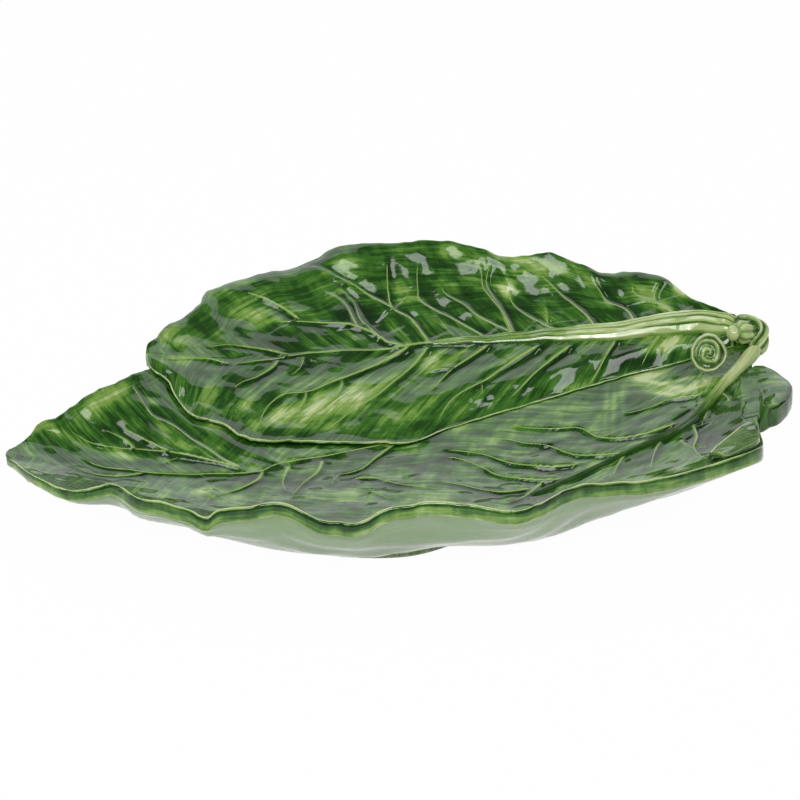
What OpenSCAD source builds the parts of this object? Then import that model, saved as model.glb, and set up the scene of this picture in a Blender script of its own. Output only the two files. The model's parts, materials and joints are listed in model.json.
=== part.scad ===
// Serving platter shaped as two overlapping cabbage leaves with a rolled stalk end.
// Origin: middle of the overall length and width, on the table. +X to the stalks, +Z up.

/* [Platter] */
// Half of the overall length, from the leaf tip to the stalk lobe
half_length = 190; // [165:5:220]
// Half of the overall width
half_width = 142; // [125:1:160]
// Height of the highest point of the back rim
rim_height = 62; // [56:1:72]

/* [Walls] */
// Wall of the lower leaf over the foot
lower_wall = 7; // [5.5:0.5:8.5]
// Wall of the upper leaf beside its midrib
upper_wall = 5; // [4:0.5:7]
// Height of the rolled edge band of both rims
rim_edge = 8; // [6:0.5:10]
// Wall of the lower leaf where it is tucked under the upper leaf
tuck_wall = 3; // [2:0.5:4]
// Step of the upper leaf's free edge above the lower leaf
lap_step = 3; // [2:0.5:4]
// How far the rim band rounds outwards
rim_round = 1.5; // [1:0.25:2.5]

/* [Veins] */
// Height of the midribs at their thickest
midrib_rise = 2.4; // [1.2:0.2:3.2]
// Height of the side veins where they leave the midrib
vein_rise = 1.8; // [0.8:0.2:2.4]

/* [Foot] */
// Height of the foot ring under the leaf's floor
foot_height = 6; // [4:0.5:8]
// Width of the foot ring
foot_width = 9; // [6:0.5:12]

/* [Stalks] */
// Width of the upper leaf's stalk at its cut end
upper_stalk_width = 15; // [12:0.5:18]
// Rise of the upper leaf's stalk at its cut end
upper_stalk_rise = 7; // [5.5:0.5:8]
// Width of the lower leaf's stalk at the knuckle
lower_stalk_width = 9.5; // [8:0.5:12]
// Rise of the lower leaf's stalk at the knuckle
lower_stalk_rise = 4.5; // [3:0.5:6]
// Radius of the knuckle that joins the two stalks
knuckle_radius = 5.5; // [4.5:0.25:6]
// How far the bend's handles rise above its ends
knuckle_hump = 4; // [0:0.5:5]
// Height of the flutes along the knuckle
flute_rise = 0.7; // [0.3:0.1:1]
// Radius of the curled stalk end
curl_radius = 9.5; // [8:0.25:10.5]
// Thickness of the curled stalk end
curl_depth = 6; // [4:0.5:8]
// How far the scroll stands out of the curl's face
scroll_rise = 1.5; // [0.8:0.1:2.5]
// Width of the scroll's roll
scroll_width = 2.2; // [1.4:0.1:2.4]
// Radius of the bud's cap beside the knuckle
bud_radius = 5; // [4:0.2:5.4]
// Length of the bud
bud_length = 11; // [9:0.5:12]

/* [Folds] */
// Crown of the margin lobe above the leaf beside it
lobe_crown = 6; // [4:0.5:7]
// Height of the margin lobe's outer edge
lobe_edge = 5; // [4:0.5:8]
// Width of the folded lip at its widest
lip_width = 23; // [16:0.5:25]
// Thickness of the folded lip at the rim
lip_rise = 4; // [2.5:0.5:5]
// Thickness of the folded lip at its inner edge
lip_edge = 2.4; // [1.4:0.2:3]

/* [Hidden] */

// Luting gap between two pieces that lie on each other
fit_gap = 0.4;
floor_z = foot_height + lower_wall;
// Middle of the dish
dish_middle = [0, -0.32 * half_width];
// Power with which the wall rises
wall_power = 1.5;

// Dish around its middle, every 30 degrees from +X: reach, height of the rim and start of the wall
reach_shares = [0.93, 1.10, 1.27, 1.30, 1.09, 0.88, 0.98, 0.87, 0.76, 0.685, 0.715, 0.77];
rim_shares = [0.645, 0.70, 0.77, 0.86, 0.75, 0.70, 0.50, 0.61, 0.74, 0.76, 0.76, 0.70];
wall_shares = [0.35, 0.16, 0.10, 0.10, 0.14, 0.24, 0.30, 0.48, 0.62, 0.62, 0.56, 0.55];

// Leaf edges, from the tip to the stalk: length, width and height shares
lower_front_shares = [
    [-0.996, -0.33, 0.49], [-0.92, -0.54, 0.535], [-0.83, -0.68, 0.57], [-0.76, -0.70, 0.63],
    [-0.72, -0.71, 0.65], [-0.66, -0.82, 0.66], [-0.61, -0.86, 0.67], [-0.53, -0.93, 0.67],
    [-0.49, -0.96, 0.65], [-0.455, -0.955, 0.71], [-0.38, -0.975, 0.76], [-0.305, -0.98, 0.80],
    [-0.24, -1, 0.74], [-0.18, -1, 0.66], [-0.10, -1, 0.66], [-0.035, -0.98, 0.74],
    [0.065, -0.975, 0.80], [0.18, -0.99, 0.79], [0.25, -1, 0.75], [0.33, -0.965, 0.74],
    [0.43, -0.86, 0.79], [0.51, -0.82, 0.80], [0.61, -0.77, 0.76], [0.71, -0.69, 0.72],
    [0.79, -0.605, 0.71], [0.87, -0.54, 0.66], [0.915, -0.46, 0.65], [0.92, -0.35, 0.65],
    [0.91, -0.17, 0.65], [0.91, 0, 0.66], [0.905, 0.14, 0.67], [0.897, 0.26, 0.68]];
lower_back_shares = [
    [-0.993, -0.28, 0.49], [-0.965, -0.22, 0.52], [-0.945, -0.185, 0.535], [-0.915, -0.11, 0.585],
    [-0.87, -0.085, 0.60], [-0.835, -0.01, 0.625], [-0.80, 0.02, 0.69], [-0.77, 0.045, 0.70],
    [-0.735, 0.09, 0.70], [-0.69, 0.165, 0.71], [-0.65, 0.23, 0.72], [-0.55, 0.42, 0.68],
    [-0.42, 0.56, 0.65], [-0.21, 0.65, 0.65], [0, 0.68, 0.66], [0.26, 0.69, 0.68],
    [0.53, 0.65, 0.72], [0.70, 0.60, 0.75], [0.89, 0.55, 0.79]];
lower_midrib_shares = [
    [-1, -0.305], [-0.815, -0.33], [-0.65, -0.305], [-0.53, -0.27], [-0.41, -0.24], [-0.315, -0.19],
    [-0.15, -0.085], [0.035, 0.03], [0.125, 0.105], [0.27, 0.19], [0.405, 0.26], [0.56, 0.325],
    [0.725, 0.355], [0.89, 0.385]];
upper_back_shares = [
    [-0.645, 0.31, 0.73], [-0.634, 0.38, 0.75], [-0.60, 0.50, 0.77], [-0.52, 0.63, 0.81],
    [-0.495, 0.73, 0.84], [-0.405, 0.84, 0.84], [-0.305, 0.895, 0.86], [-0.225, 0.97, 0.89],
    [-0.16, 0.985, 0.97], [-0.06, 1, 0.99], [0.04, 1, 1], [0.125, 1, 1], [0.205, 0.97, 0.965],
    [0.25, 0.94, 0.935], [0.315, 0.93, 0.95], [0.38, 0.935, 0.965], [0.46, 0.89, 0.92],
    [0.51, 0.85, 0.89], [0.575, 0.85, 0.90], [0.665, 0.81, 0.885], [0.70, 0.76, 0.865],
    [0.735, 0.685, 0.835], [0.77, 0.63, 0.805], [0.795, 0.595, 0.80], [0.825, 0.55, 0.805],
    [0.86, 0.495, 0.81]];
upper_front_shares = [
    [-0.645, 0.27], [-0.63, 0.225], [-0.605, 0.20], [-0.588, 0.175], [-0.575, 0.115], [-0.55, 0.045],
    [-0.525, 0.012], [-0.485, 0.006], [-0.45, 0.002], [-0.415, -0.042], [-0.38, -0.058],
    [-0.34, -0.054], [-0.28, -0.034], [-0.20, -0.022], [-0.12, -0.016], [-0.04, -0.01],
    [0.03, 0.005], [0.125, 0.09],
    [0.27, 0.18], [0.405, 0.25], [0.56, 0.315], [0.725, 0.355], [0.85, 0.395]];
upper_midrib_shares = [
    [-0.647, 0.28], [-0.60, 0.31], [-0.515, 0.335], [-0.43, 0.375], [-0.345, 0.415], [-0.23, 0.455],
    [-0.12, 0.475], [-0.03, 0.49], [0.075, 0.51], [0.25, 0.525], [0.38, 0.53], [0.51, 0.525],
    [0.635, 0.52], [0.76, 0.50], [0.86, 0.445]];

// Side veins, one row each: where they leave the midrib and where they meet the front and the back
// edge, how free those two edges stand there, and how strong the vein is towards each of them
lower_vein_shares = [
    [0, 0, 0, 1, 1, 0, 0], [0.06, 0.055, 0.035, 1, 1, 0.6, 0.6], [0.12, 0.11, 0.075, 1, 1, 0.8, 0.8],
    [0.175, 0.15, 0.11, 1, 1, 1, 1], [0.235, 0.185, 0.15, 1, 1, 1, 1], [0.30, 0.23, 0.205, 1, 1, 1, 1],
    [0.35, 0.26, 0.245, 1, 0.3, 1, 0], [0.425, 0.325, 0.32, 1, 0, 1, 0],
    [0.495, 0.38, 0.395, 1, 0, 0.8, 0], [0.575, 0.43, 0.46, 1, 0, 0, 0],
    [0.675, 0.475, 0.55, 1, 0, 0, 0], [0.77, 0.505, 0.65, 1, 0, 0, 0], [0.89, 0.54, 0.78, 1, 0, 0, 0],
    [0.95, 0.61, 0.86, 1, 0, 0, 0], [0.97, 0.685, 0.90, 0.6, 0, 0, 0], [0.98, 0.74, 0.93, 0, 0, 0, 0],
    [0.985, 0.81, 0.95, 0, 0, 0, 0], [0.99, 0.87, 0.97, 0, 0, 0, 0],
    [0.995, 0.935, 0.985, 0, 0, 0, 0], [1, 1, 1, 0, 0, 0, 0]];
upper_vein_shares = [
    [0, 0, 0, 0, 1, 0, 0], [0.09, 0.10, 0.065, 0, 1, 0.6, 0.6], [0.205, 0.15, 0.165, 0, 1, 0.8, 0.8],
    [0.33, 0.20, 0.26, 0, 1, 1, 1], [0.42, 0.245, 0.345, 0, 1, 1, 1], [0.475, 0.32, 0.43, 0, 1, 1, 1],
    [0.56, 0.405, 0.485, 0, 1, 1, 1], [0.635, 0.49, 0.53, 0, 1, 1, 1], [0.695, 0.575, 0.59, 0, 1, 1, 1],
    [0.76, 0.69, 0.64, 0, 1, 1, 1], [0.83, 0.79, 0.72, 0, 1, 0.8, 1], [0.89, 0.86, 0.785, 0, 1, 0.6, 1],
    [0.94, 0.915, 0.88, 0, 1, 0, 0.6], [1, 1, 1, 0, 0, 0, 0]];
// Where the upper leaf's stalk starts along its midrib
stalk_start_share = 0.56;
// Places of the grid beside each vein, and across each half of a leaf
vein_side_share = 0.11;
lower_front_across_shares = [0.04, 0.12, 0.22, 0.33, 0.44, 0.54, 0.64, 0.74, 0.83, 0.92, 1];
lower_back_across_shares = [0.06, 0.2, 0.4, 0.6, 0.78, 0.92, 1];
upper_across_shares = [0.05, 0.14, 0.27, 0.41, 0.55, 0.69, 0.82, 0.93, 1];
// Thickness of the lower leaf's wall and rim band at its tip, as a share of what they have from
// the fourth vein on
tip_wall_share = 0.5;
tip_veins = 4;
// Veins at which the two midribs have run out, and over how many they fade
lower_midrib_end = 8;
upper_midrib_end = 6;
midrib_fade = 2;
// Shares of a leaf's half width from which its wall turns into the edge band
lower_band_share = 0.75;
upper_band_share = 0.5;
// How far the veins sweep towards the tip
sweep_share = 0.05;

// Smooth curve through b and c, at the share k between them
function blend(a, b, c, d, k) =
    0.5 * (2 * b + (c - a) * k + (2 * a - 5 * b + 4 * c - d) * k * k
    + (3 * b - a - 3 * c + d) * k * k * k);
function ease(k) = k * k * (3 - 2 * k);
function mix(a, b, k) = a + (b - a) * k;
function flat(p) = [p.x, p.y];

// Value at an angle of a table that goes round in even steps
function around(table, angle) =
    let(n = len(table), f = (angle + 360) % 360 * n / 360, i = floor(f))
    blend(table[(i + n - 1) % n], table[i % n], table[(i + 1) % n], table[(i + 2) % n], f - i);

// Height of the dish's smooth upper face at a place
function dish_z(p) =
    let(x = (p.x - dish_middle.x) / half_length, y = (p.y - dish_middle.y) / half_width,
        angle = atan2(y, x), start = around(wall_shares, angle),
        rise = max(norm([x, y]) / around(reach_shares, angle) - start, 0) / (1 - start))
    floor_z + (rim_height * around(rim_shares, angle) - floor_z) * pow(rise, wall_power);

// Paths: real size, length so far at each point, and the place at a share of the length
function sized(shares) =
    [for (s = shares) [s.x * half_length, s.y * half_width, len(s) > 2 ? s.z * rim_height : 0]];
function lengths(path) =
    [for (i = 0, sum = 0; i < len(path);
        sum = sum + (i + 1 < len(path) ? norm(flat(path[i + 1]) - flat(path[i])) : 0), i = i + 1)
        sum];
function span_of(sums, reach, i = 0) =
    i >= len(sums) - 2 || reach < sums[i + 1] ? i : span_of(sums, reach, i + 1);
function place(path, sums, share) =
    let(n = len(path) - 1, reach = share * sums[n], i = span_of(sums, reach),
        k = (reach - sums[i]) / (sums[i + 1] - sums[i]))
    blend(path[max(i - 1, 0)], path[i], path[i + 1], path[min(i + 2, n)], k);

lower_front = sized(lower_front_shares);
lower_back = sized(lower_back_shares);
lower_midrib = sized(lower_midrib_shares);
upper_front = sized(upper_front_shares);
upper_back = sized(upper_back_shares);
upper_midrib = sized(upper_midrib_shares);
lower_paths = [lower_midrib, lower_front, lower_back];
upper_paths = [upper_midrib, upper_front, upper_back];

// Grid of a leaf: rows follow its veins, and columns run from the front edge to the back edge
function rows_of(veins) =
    let(last = len(veins) - 1)
    [for (i = [0 : last - 1]) each [i, if (i > 0) i + vein_side_share, i + 0.5,
        if (i < last - 1) i + 1 - vein_side_share], last];
function row_at(veins, r) =
    let(i = min(floor(r), len(veins) - 2)) mix(veins[i], veins[i + 1], r - i);
function across(front, back) = concat([for (i = [len(front) - 1 : -1 : 0]) -front[i]], 0, back);
lower_across = across(lower_front_across_shares, lower_back_across_shares);
upper_across = across(upper_across_shares, upper_across_shares);

// One row of a leaf: midrib, front and back place, its row of the vein table, and its number
function row_frame(paths, sums, veins, r) =
    let(v = row_at(veins, r)) [for (i = [0 : 2]) place(paths[i], sums[i], v[i]), v, r];
function frames(paths, veins) =
    let(sums = [for (p = paths) lengths(p)]) [for (r = rows_of(veins)) row_frame(paths, sums, veins, r)];
function edge_of(f, v) = v < 0 ? f[1] : f[2];
function on_row(f, v) =
    let(m = flat(f[0]), e = flat(edge_of(f, v)), k = abs(v))
    mix(m, e, k) - [sweep_share * norm(e - m) * 4 * k * (1 - k), 0];
// How far the edge stands above the dish, faded out inwards
function lift(f, v, extra) =
    let(e = edge_of(f, v)) f[3][v < 0 ? 3 : 4] * (e.z - extra - dish_z(e)) * pow(abs(v), 8);
// Ridge of a side vein, only on the rows that carry one, where the place next to it towards the
// midrib lies beside a stalk of the given half width
function vein(f, columns, j, beside) =
    let(v = columns[j], next = columns[j - sign(v)])
    v != 0 && f[4] == floor(f[4]) && abs(next) * norm(flat(edge_of(f, v) - f[0])) >= beside
    ? f[3][v < 0 ? 5 : 6] * vein_rise * pow(1 - abs(v), 0.7) : 0;

function midrib_left(f, end) = midrib_rise * ease(max(min(end - f[4], midrib_fade), 0) / midrib_fade);
// How far a place has come into the edge band
function banded(v, start) = ease(max(abs(v) - start, 0) / (1 - start));

// Corners round the rim of a grid with n rows of m points
function rim_walk(n, m) = concat(
    [for (j = [0 : m - 1]) [0, j]], [for (i = [1 : n - 1]) [i, m - 1]],
    [for (j = [m - 2 : -1 : 0]) [n - 1, j]], [for (i = [n - 2 : -1 : 1]) [i, 0]]);
// The grid with its rim moved in, so that a band can round outwards, but never past the next place
inset_share = 0.6;
function inset(places, by) =
    let(n = len(places), m = len(places[0]))
    [for (i = [0 : n - 1]) [for (j = [0 : m - 1])
        let(p = places[i][j], q = places[min(max(i, 1), n - 2)][min(max(j, 1), m - 2)])
        p == q ? p : p - min(by / norm(p - q), inset_share) * (p - q)]];

// A closed sheet over a grid of places, between two grids of heights, with a rounded rim
module sheet(places, highs, lows, by) {
    n = len(places);
    m = len(places[0]);
    walk = rim_walk(n, m);
    w = len(walk);
    inner = inset(places, by);
    points = concat(
        [for (i = [0 : n - 1], j = [0 : m - 1]) [inner[i][j].x, inner[i][j].y, highs[i][j]]],
        [for (i = [0 : n - 1], j = [0 : m - 1]) [inner[i][j].x, inner[i][j].y, lows[i][j]]],
        [for (k = walk) let(p = places[k[0]][k[1]])
            [p.x, p.y, mix(lows[k[0]][k[1]], highs[k[0]][k[1]], 0.5)]]);
    upper = [for (i = [0 : n - 2], j = [0 : m - 2])
        let(a = i * m + j) each [[a, a + 1, a + m], [a + 1, a + m + 1, a + m]]];
    under = [for (t = upper) [for (k = [2, 1, 0]) t[k] + n * m]];
    band = [for (k = [0 : w - 1])
        let(p = walk[k], q = walk[(k + 1) % w],
            a = p[0] * m + p[1], b = q[0] * m + q[1], c = 2 * n * m + k, d = 2 * n * m + (k + 1) % w)
        each [[a, c, b], [b, c, d], [c, a + n * m, d], [d, a + n * m, b + n * m]]];
    polyhedron(points, concat(upper, under, band), convexity = 8);
}

// A closed tube through rings of points
module tube(rings) {
    n = len(rings);
    m = len(rings[0]);
    sides = [for (i = [0 : n - 2], j = [0 : m - 1])
        let(a = i * m + j, b = i * m + (j + 1) % m) each [[a, b, a + m], [b, b + m, a + m]]];
    polyhedron([for (r = rings) each r],
        concat(sides, [[for (j = [m - 1 : -1 : 0]) j]], [[for (j = [0 : m - 1]) (n - 1) * m + j]]),
        convexity = 6);
}

// Resting heights on the lower and on the upper leaf
function on_lower(p) = dish_z(p) + fit_gap;
function on_upper(p) = on_lower(p) + upper_wall + fit_gap;

module lower_leaf() {
    rows = frames(lower_paths, lower_vein_shares);
    columns = lower_across;
    places = [for (f = rows) [for (v = columns) on_row(f, v)]];
    smooth = [for (f = rows) [for (v = columns) dish_z(on_row(f, v)) + lift(f, v, 0)]];
    highs = [for (i = [0 : len(rows) - 1]) [for (j = [0 : len(columns) - 1])
        let(f = rows[i],
            midrib = columns[j] == 0 ? midrib_left(f, lower_midrib_end) : 0)
        smooth[i][j] + midrib + vein(f, columns, j, 0)]];
    lows = [for (i = [0 : len(rows) - 1]) [for (j = [0 : len(columns) - 1])
        let(v = columns[j], tip = mix(tip_wall_share, 1, min(rows[i][4] / tip_veins, 1)),
            edge = mix(tuck_wall, rim_edge * tip, v > 0 ? rows[i][3][4] : 1))
        max(foot_height, smooth[i][j] - mix(lower_wall * tip, edge, banded(v, lower_band_share)))]];
    color("forestgreen") sheet(places, highs, lows, rim_round);
}

// Half width and rise of the upper leaf's stalk at a share of the midrib
function stalk_grow(share) = pow(max(share - stalk_start_share, 0) / (1 - stalk_start_share), 1.4);
// The stalk draws in again before the knuckle
neck_start_share = 0.84;
neck_width_share = 0.75;
neck_rise_share = 0.85;
function neck(share, left) =
    mix(1, left, ease(max(share - neck_start_share, 0) / (1 - neck_start_share)));
function stalk_half(share) =
    mix(0.2, 1, stalk_grow(share)) * neck(share, neck_width_share) * upper_stalk_width / 2;

module upper_leaf() {
    rows = frames(upper_paths, upper_vein_shares);
    columns = upper_across;
    places = [for (f = rows) [for (v = columns) on_row(f, v)]];
    lows = [for (f = rows) [for (v = columns)
        on_lower(on_row(f, v)) + lift(f, v, rim_edge + fit_gap)]];
    highs = [for (i = [0 : len(rows) - 1]) [for (j = [0 : len(columns) - 1])
        let(f = rows[i], v = columns[j], edge = v < 0 ? lap_step : rim_edge,
            midrib = v == 0 ? midrib_left(f, upper_midrib_end) : 0)
        lows[i][j] + mix(upper_wall, edge, banded(v, upper_band_share)) + midrib
            + vein(f, columns, j, stalk_start_share < f[3][0] ? stalk_half(f[3][0]) : 0)]];
    color("green") sheet(places, highs, lows, rim_round);
}

// Foot ring: shares of the dish's reach, every 30 degrees from +X
foot_shares = [0.45, 0.42, 0.40, 0.40, 0.42, 0.45, 0.45, 0.47, 0.53, 0.55, 0.42, 0.44];
foot_steps = 60;
function foot_place(angle, inwards) =
    let(r = around(foot_shares, angle) * around(reach_shares, angle),
        d = [r * cos(angle) * half_length, r * sin(angle) * half_width])
    dish_middle + d * (1 - inwards / norm(d));
function under_lower(p) = max(foot_height, dish_z(p) - lower_wall) - fit_gap;

module foot_ring() {
    function corner(angle, inwards, top) =
        let(p = foot_place(angle, inwards)) [p.x, p.y, top ? under_lower(p) : 0];
    n = foot_steps;
    loops = [[rim_round, false], [0, true], [foot_width, true], [foot_width - rim_round, false]];
    points = [for (c = loops, i = [0 : n - 1]) corner(i * 360 / n, c[0], c[1])];
    faces = [for (c = [0 : 3], i = [0 : n - 1])
        let(a = c * n + i, b = c * n + (i + 1) % n, e = ((c + 1) % 4) * n + i,
            f = ((c + 1) % 4) * n + (i + 1) % n) each [[a, e, b], [b, e, f]]];
    color("palegreen") polyhedron(points, faces, convexity = 4);
}

// A half round stalk that lies on a leaf: rows of [place, direction, half width, rise]
stalk_across = [for (i = [-4 : 4]) sin(90 * i / 4)];
module stalk(rows, base) {
    places = [for (r = rows) [for (v = stalk_across)
        r[0] + v * r[2] * [-r[1].y, r[1].x]]];
    lows = [for (line = places) [for (p = line) base == "upper" ? on_upper(p) : on_lower(p)]];
    highs = [for (i = [0 : len(rows) - 1]) [for (j = [0 : len(stalk_across) - 1])
        let(r = rows[i], v = stalk_across[j])
        lows[i][j] + stalk_edge + (r[3] - stalk_edge) * sqrt(max(1 - v * v, 0))
            + (j % 2 == 1 ? flute_rise * r[3] / upper_stalk_rise : 0)]];
    sheet(places, highs, lows, stalk_edge / 4);
}
// Thickness of a stalk's thin side edges
stalk_edge = 1;
function heading(path, sums, share) =
    let(step = 0.01, ahead = place(path, sums, min(share + step, 1)),
        behind = place(path, sums, max(share - step, 0)), d = flat(ahead - behind))
    d / norm(d);

module upper_leaf_stalk() {
    sums = lengths(upper_midrib);
    steps = 12;
    rows = [for (i = [0 : steps]) let(s = mix(stalk_start_share, 1, i / steps))
        [flat(place(upper_midrib, sums, s)), heading(upper_midrib, sums, s), stalk_half(s),
            mix(0.25, 1, stalk_grow(s)) * neck(s, neck_rise_share) * upper_stalk_rise]];
    color("yellowgreen") stalk(rows, "upper");
}

// The lower leaf's stalk runs on as its strongest side rib
lower_stalk_shares = [[0.905, 0.35], [0.865, 0.255], [0.825, 0.172], [0.788, 0.077],
    [0.748, -0.018], [0.686, -0.095], [0.557, -0.176], [0.453, -0.264], [0.333, -0.36]];
lower_stalk_path = sized(lower_stalk_shares);

module lower_leaf_stalk() {
    sums = lengths(lower_stalk_path);
    steps = 14;
    rows = [for (i = [0 : steps]) let(s = i / steps)
        [flat(place(lower_stalk_path, sums, s)), heading(lower_stalk_path, sums, s),
            mix(1, 0.2, pow(s, 0.6)) * lower_stalk_width / 2, mix(1, 0.3, pow(s, 0.6)) * lower_stalk_rise]];
    color("yellowgreen") stalk(rows, "lower");
}

// Knuckle: a fluted bend from the end of the upper stalk round to the start of the lower one
upper_end = flat(upper_midrib[len(upper_midrib) - 1]);
lower_end = flat(lower_stalk_path[0]);
knuckle_sides = 14;
knuckle_steps = 10;
function bow(a, b, c, d, k) =
    a * pow(1 - k, 3) + 3 * b * k * pow(1 - k, 2) + 3 * c * k * k * (1 - k) + d * pow(k, 3);
function lifted(p, z) = [p.x, p.y, z];

knuckle_out = heading(lower_stalk_path, lengths(lower_stalk_path), 0);
knuckle_reach = 1.7 * knuckle_radius;
knuckle_in = heading(upper_midrib, lengths(upper_midrib), 1);
// The bend's end faces lean with its handles, so they stand off further than the luting gap
end_gap = fit_gap + 0.3 * knuckle_hump;
knuckle_from = lifted(upper_end + end_gap * knuckle_in,
    on_upper(upper_end) + upper_stalk_rise - knuckle_radius);
knuckle_to = lifted(lower_end - end_gap * knuckle_out,
    on_lower(lower_end) + lower_stalk_rise - knuckle_size(1));
function knuckle_size(k) = mix(knuckle_radius, lower_stalk_width / 2, k);
function knuckle_at(k) = bow(knuckle_from, knuckle_from + lifted(knuckle_reach * knuckle_in, knuckle_hump),
    knuckle_to + lifted(-knuckle_reach * knuckle_out, knuckle_hump), knuckle_to, k);

module stalk_knuckle() {
    rings = [for (i = [0 : knuckle_steps])
        let(k = i / knuckle_steps, q = knuckle_at(k + 0.01) - knuckle_at(k - 0.01), t = q / norm(q),
            side = cross(t, [0, 0, 1]) / norm(cross(t, [0, 0, 1])), up = cross(side, t))
        [for (j = [0 : knuckle_sides - 1])
            let(g = j * 360 / knuckle_sides, r = knuckle_size(k) - (j % 2) * flute_rise)
            knuckle_at(k) + r * (cos(g) * side + sin(g) * up)]];
    color("darkseagreen") tube(rings);
}

// Bud: a small ball with a ribbed cap behind it, which leans on the inside of the bend; along it
// go shares of its length and of its radius
bud_ribs = 7;
bud_at_share = 0.5;
bud_lean = [-1, -0.7, 0.2] / norm([-1, -0.7, 0.2]);
bud_shares = [[0, 0.45], [0.1, 0.85], [0.3, 1], [0.45, 0.85], [0.55, 0.5], [0.65, 0.64], [0.8, 0.64],
    [0.92, 0.45], [1, 0.15]];
module bud() {
    side = cross(bud_lean, [0, 0, 1]) / norm(cross(bud_lean, [0, 0, 1]));
    up = cross(side, bud_lean);
    rings = [for (s = bud_shares) [for (j = [0 : 2 * bud_ribs - 1])
        let(a = j * 180 / bud_ribs, r = s[1] * (bud_radius - (j % 2) * flute_rise / 2))
        knuckle_at(bud_at_share) + s[0] * bud_length * bud_lean + r * (cos(a) * side + sin(a) * up)]];
    // The bud leans out until its whole skin clears the knuckle by the luting gap
    out = max([for (ring = rings, p = ring, i = [0 : knuckle_steps])
        let(k = i / knuckle_steps, q = p - knuckle_at(k), along = q * bud_lean,
            room = pow(knuckle_size(k) + fit_gap, 2) - q * q + along * along)
        room > 0 ? sqrt(room) - along : 0]);
    color("yellowgreen") translate(out * bud_lean) tube(rings);
}

// Curl: a rolled stalk end whose face looks forwards and up
curl_shares = [0.785, 0.28];
curl_tilt = 24;
// Height of the curl as a share of its width
curl_tall_share = 1.08;
scroll_turns = 2.4;
scroll_steps = 20;
module stalk_curl() {
    at = [curl_shares.x * half_length, curl_shares.y * half_width];
    // The round edge stands on the lower leaf
    seat = max([for (g = [90 : 10 : 270])
        let(tall = curl_tall_share * cos(g),
            d = curl_radius * [sin(g), tall * sin(curl_tilt), tall * cos(curl_tilt)])
        on_lower(at + flat(d)) - d.z]);
    last = curl_radius - scroll_width / 2;
    pitch = (last - scroll_width / 2) / scroll_turns;
    function scroll(turn, side) = (last - pitch * turn + side * scroll_width / 2 * (1 - turn / 6))
        * [cos(turn * 360), sin(turn * 360)];
    n = floor(scroll_turns * scroll_steps);
    color("yellowgreen") translate([at.x, at.y, seat]) rotate([90 - curl_tilt, 0, 0])
    scale([1, curl_tall_share, 1]) {
        cylinder(r = curl_radius - scroll_width / 4, h = curl_depth, $fn = 48);
        linear_extrude(curl_depth + scroll_rise)
            polygon(concat([for (i = [0 : n]) scroll(i / scroll_steps, 1)],
                [for (i = [n : -1 : 0]) scroll(i / scroll_steps, -1)]));
    }
}

// Lobe of the lower leaf's margin, outside its edge between two shares of the front edge
lobe_spans = [0.90, 0.998];
lobe_steps = 8;
lobe_columns = 6;
module stalk_lobe() {
    sums = lengths(lower_front);
    edge = [for (i = [0 : lobe_steps])
        place(lower_front, sums, mix(lobe_spans[0], lobe_spans[1], i / lobe_steps))];
    outwards = [for (j = [0 : lobe_columns]) 1 - j / lobe_columns];
    places = [for (i = [0 : lobe_steps])
        let(x = edge[i].x + 2 * fit_gap, near = x + rim_edge / 2,
            t = i / lobe_steps,
            out = near + (half_length - near) * pow(max(sin(180 * t), 0), mix(0.5, 1.2, t)))
        [for (k = outwards) [mix(x, out, k), edge[i].y]]];
    highs = [for (i = [0 : lobe_steps]) [for (k = outwards)
        dish_z(edge[i]) + lobe_crown * mix(1, 0, i / lobe_steps) * pow(sin(180 * mix(0, 0.85, k)), 0.7)]];
    lows = [for (p = edge) [for (k = outwards) dish_z(p) - mix(rim_edge, lobe_edge, ease(k))]];
    color("seagreen") sheet(places, highs, lows, rim_round);
}

// Lip of the lower leaf's margin, folded inwards over its rim between two shares of the front edge
lip_spans = [0.765, 0.89];
lip_steps = 10;
lip_columns = 5;
module folded_lip() {
    sums = lengths(lower_front);
    places = [for (i = [0 : lip_steps])
        let(t = i / lip_steps, s = mix(lip_spans[0], lip_spans[1], t), d = heading(lower_front, sums, s),
            wide = mix(0.15, 1, sin(180 * pow(t, 0.6))) * lip_width)
        [for (j = [0 : lip_columns]) flat(place(lower_front, sums, s))
            + [-d.y, d.x] * (rim_round + fit_gap + wide * j / lip_columns)]];
    lows = [for (line = places) [for (p = line) on_lower(p) + fit_gap]];
    highs = [for (i = [0 : lip_steps]) [for (j = [0 : lip_columns])
        lows[i][j] + mix(stalk_edge, mix(lip_rise, lip_edge, j / lip_columns),
            sin(180 * mix(0.05, 0.95, i / lip_steps)))]];
    color("mediumseagreen") sheet(places, highs, lows, stalk_edge / 4);
}

lower_leaf();
upper_leaf();
foot_ring();
upper_leaf_stalk();
lower_leaf_stalk();
stalk_knuckle();
stalk_curl();
bud();
stalk_lobe();
folded_lip();
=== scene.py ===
"""Looks of the leaf platter: two glazed leaves, their stalks, the curl, the bud and the foot."""

import json
import logging
import math
from dataclasses import dataclass, field
from enum import Enum
from typing import NamedTuple, Sequence

import bpy
import numpy as np
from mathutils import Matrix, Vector
from mathutils.bvhtree import BVHTree

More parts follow.
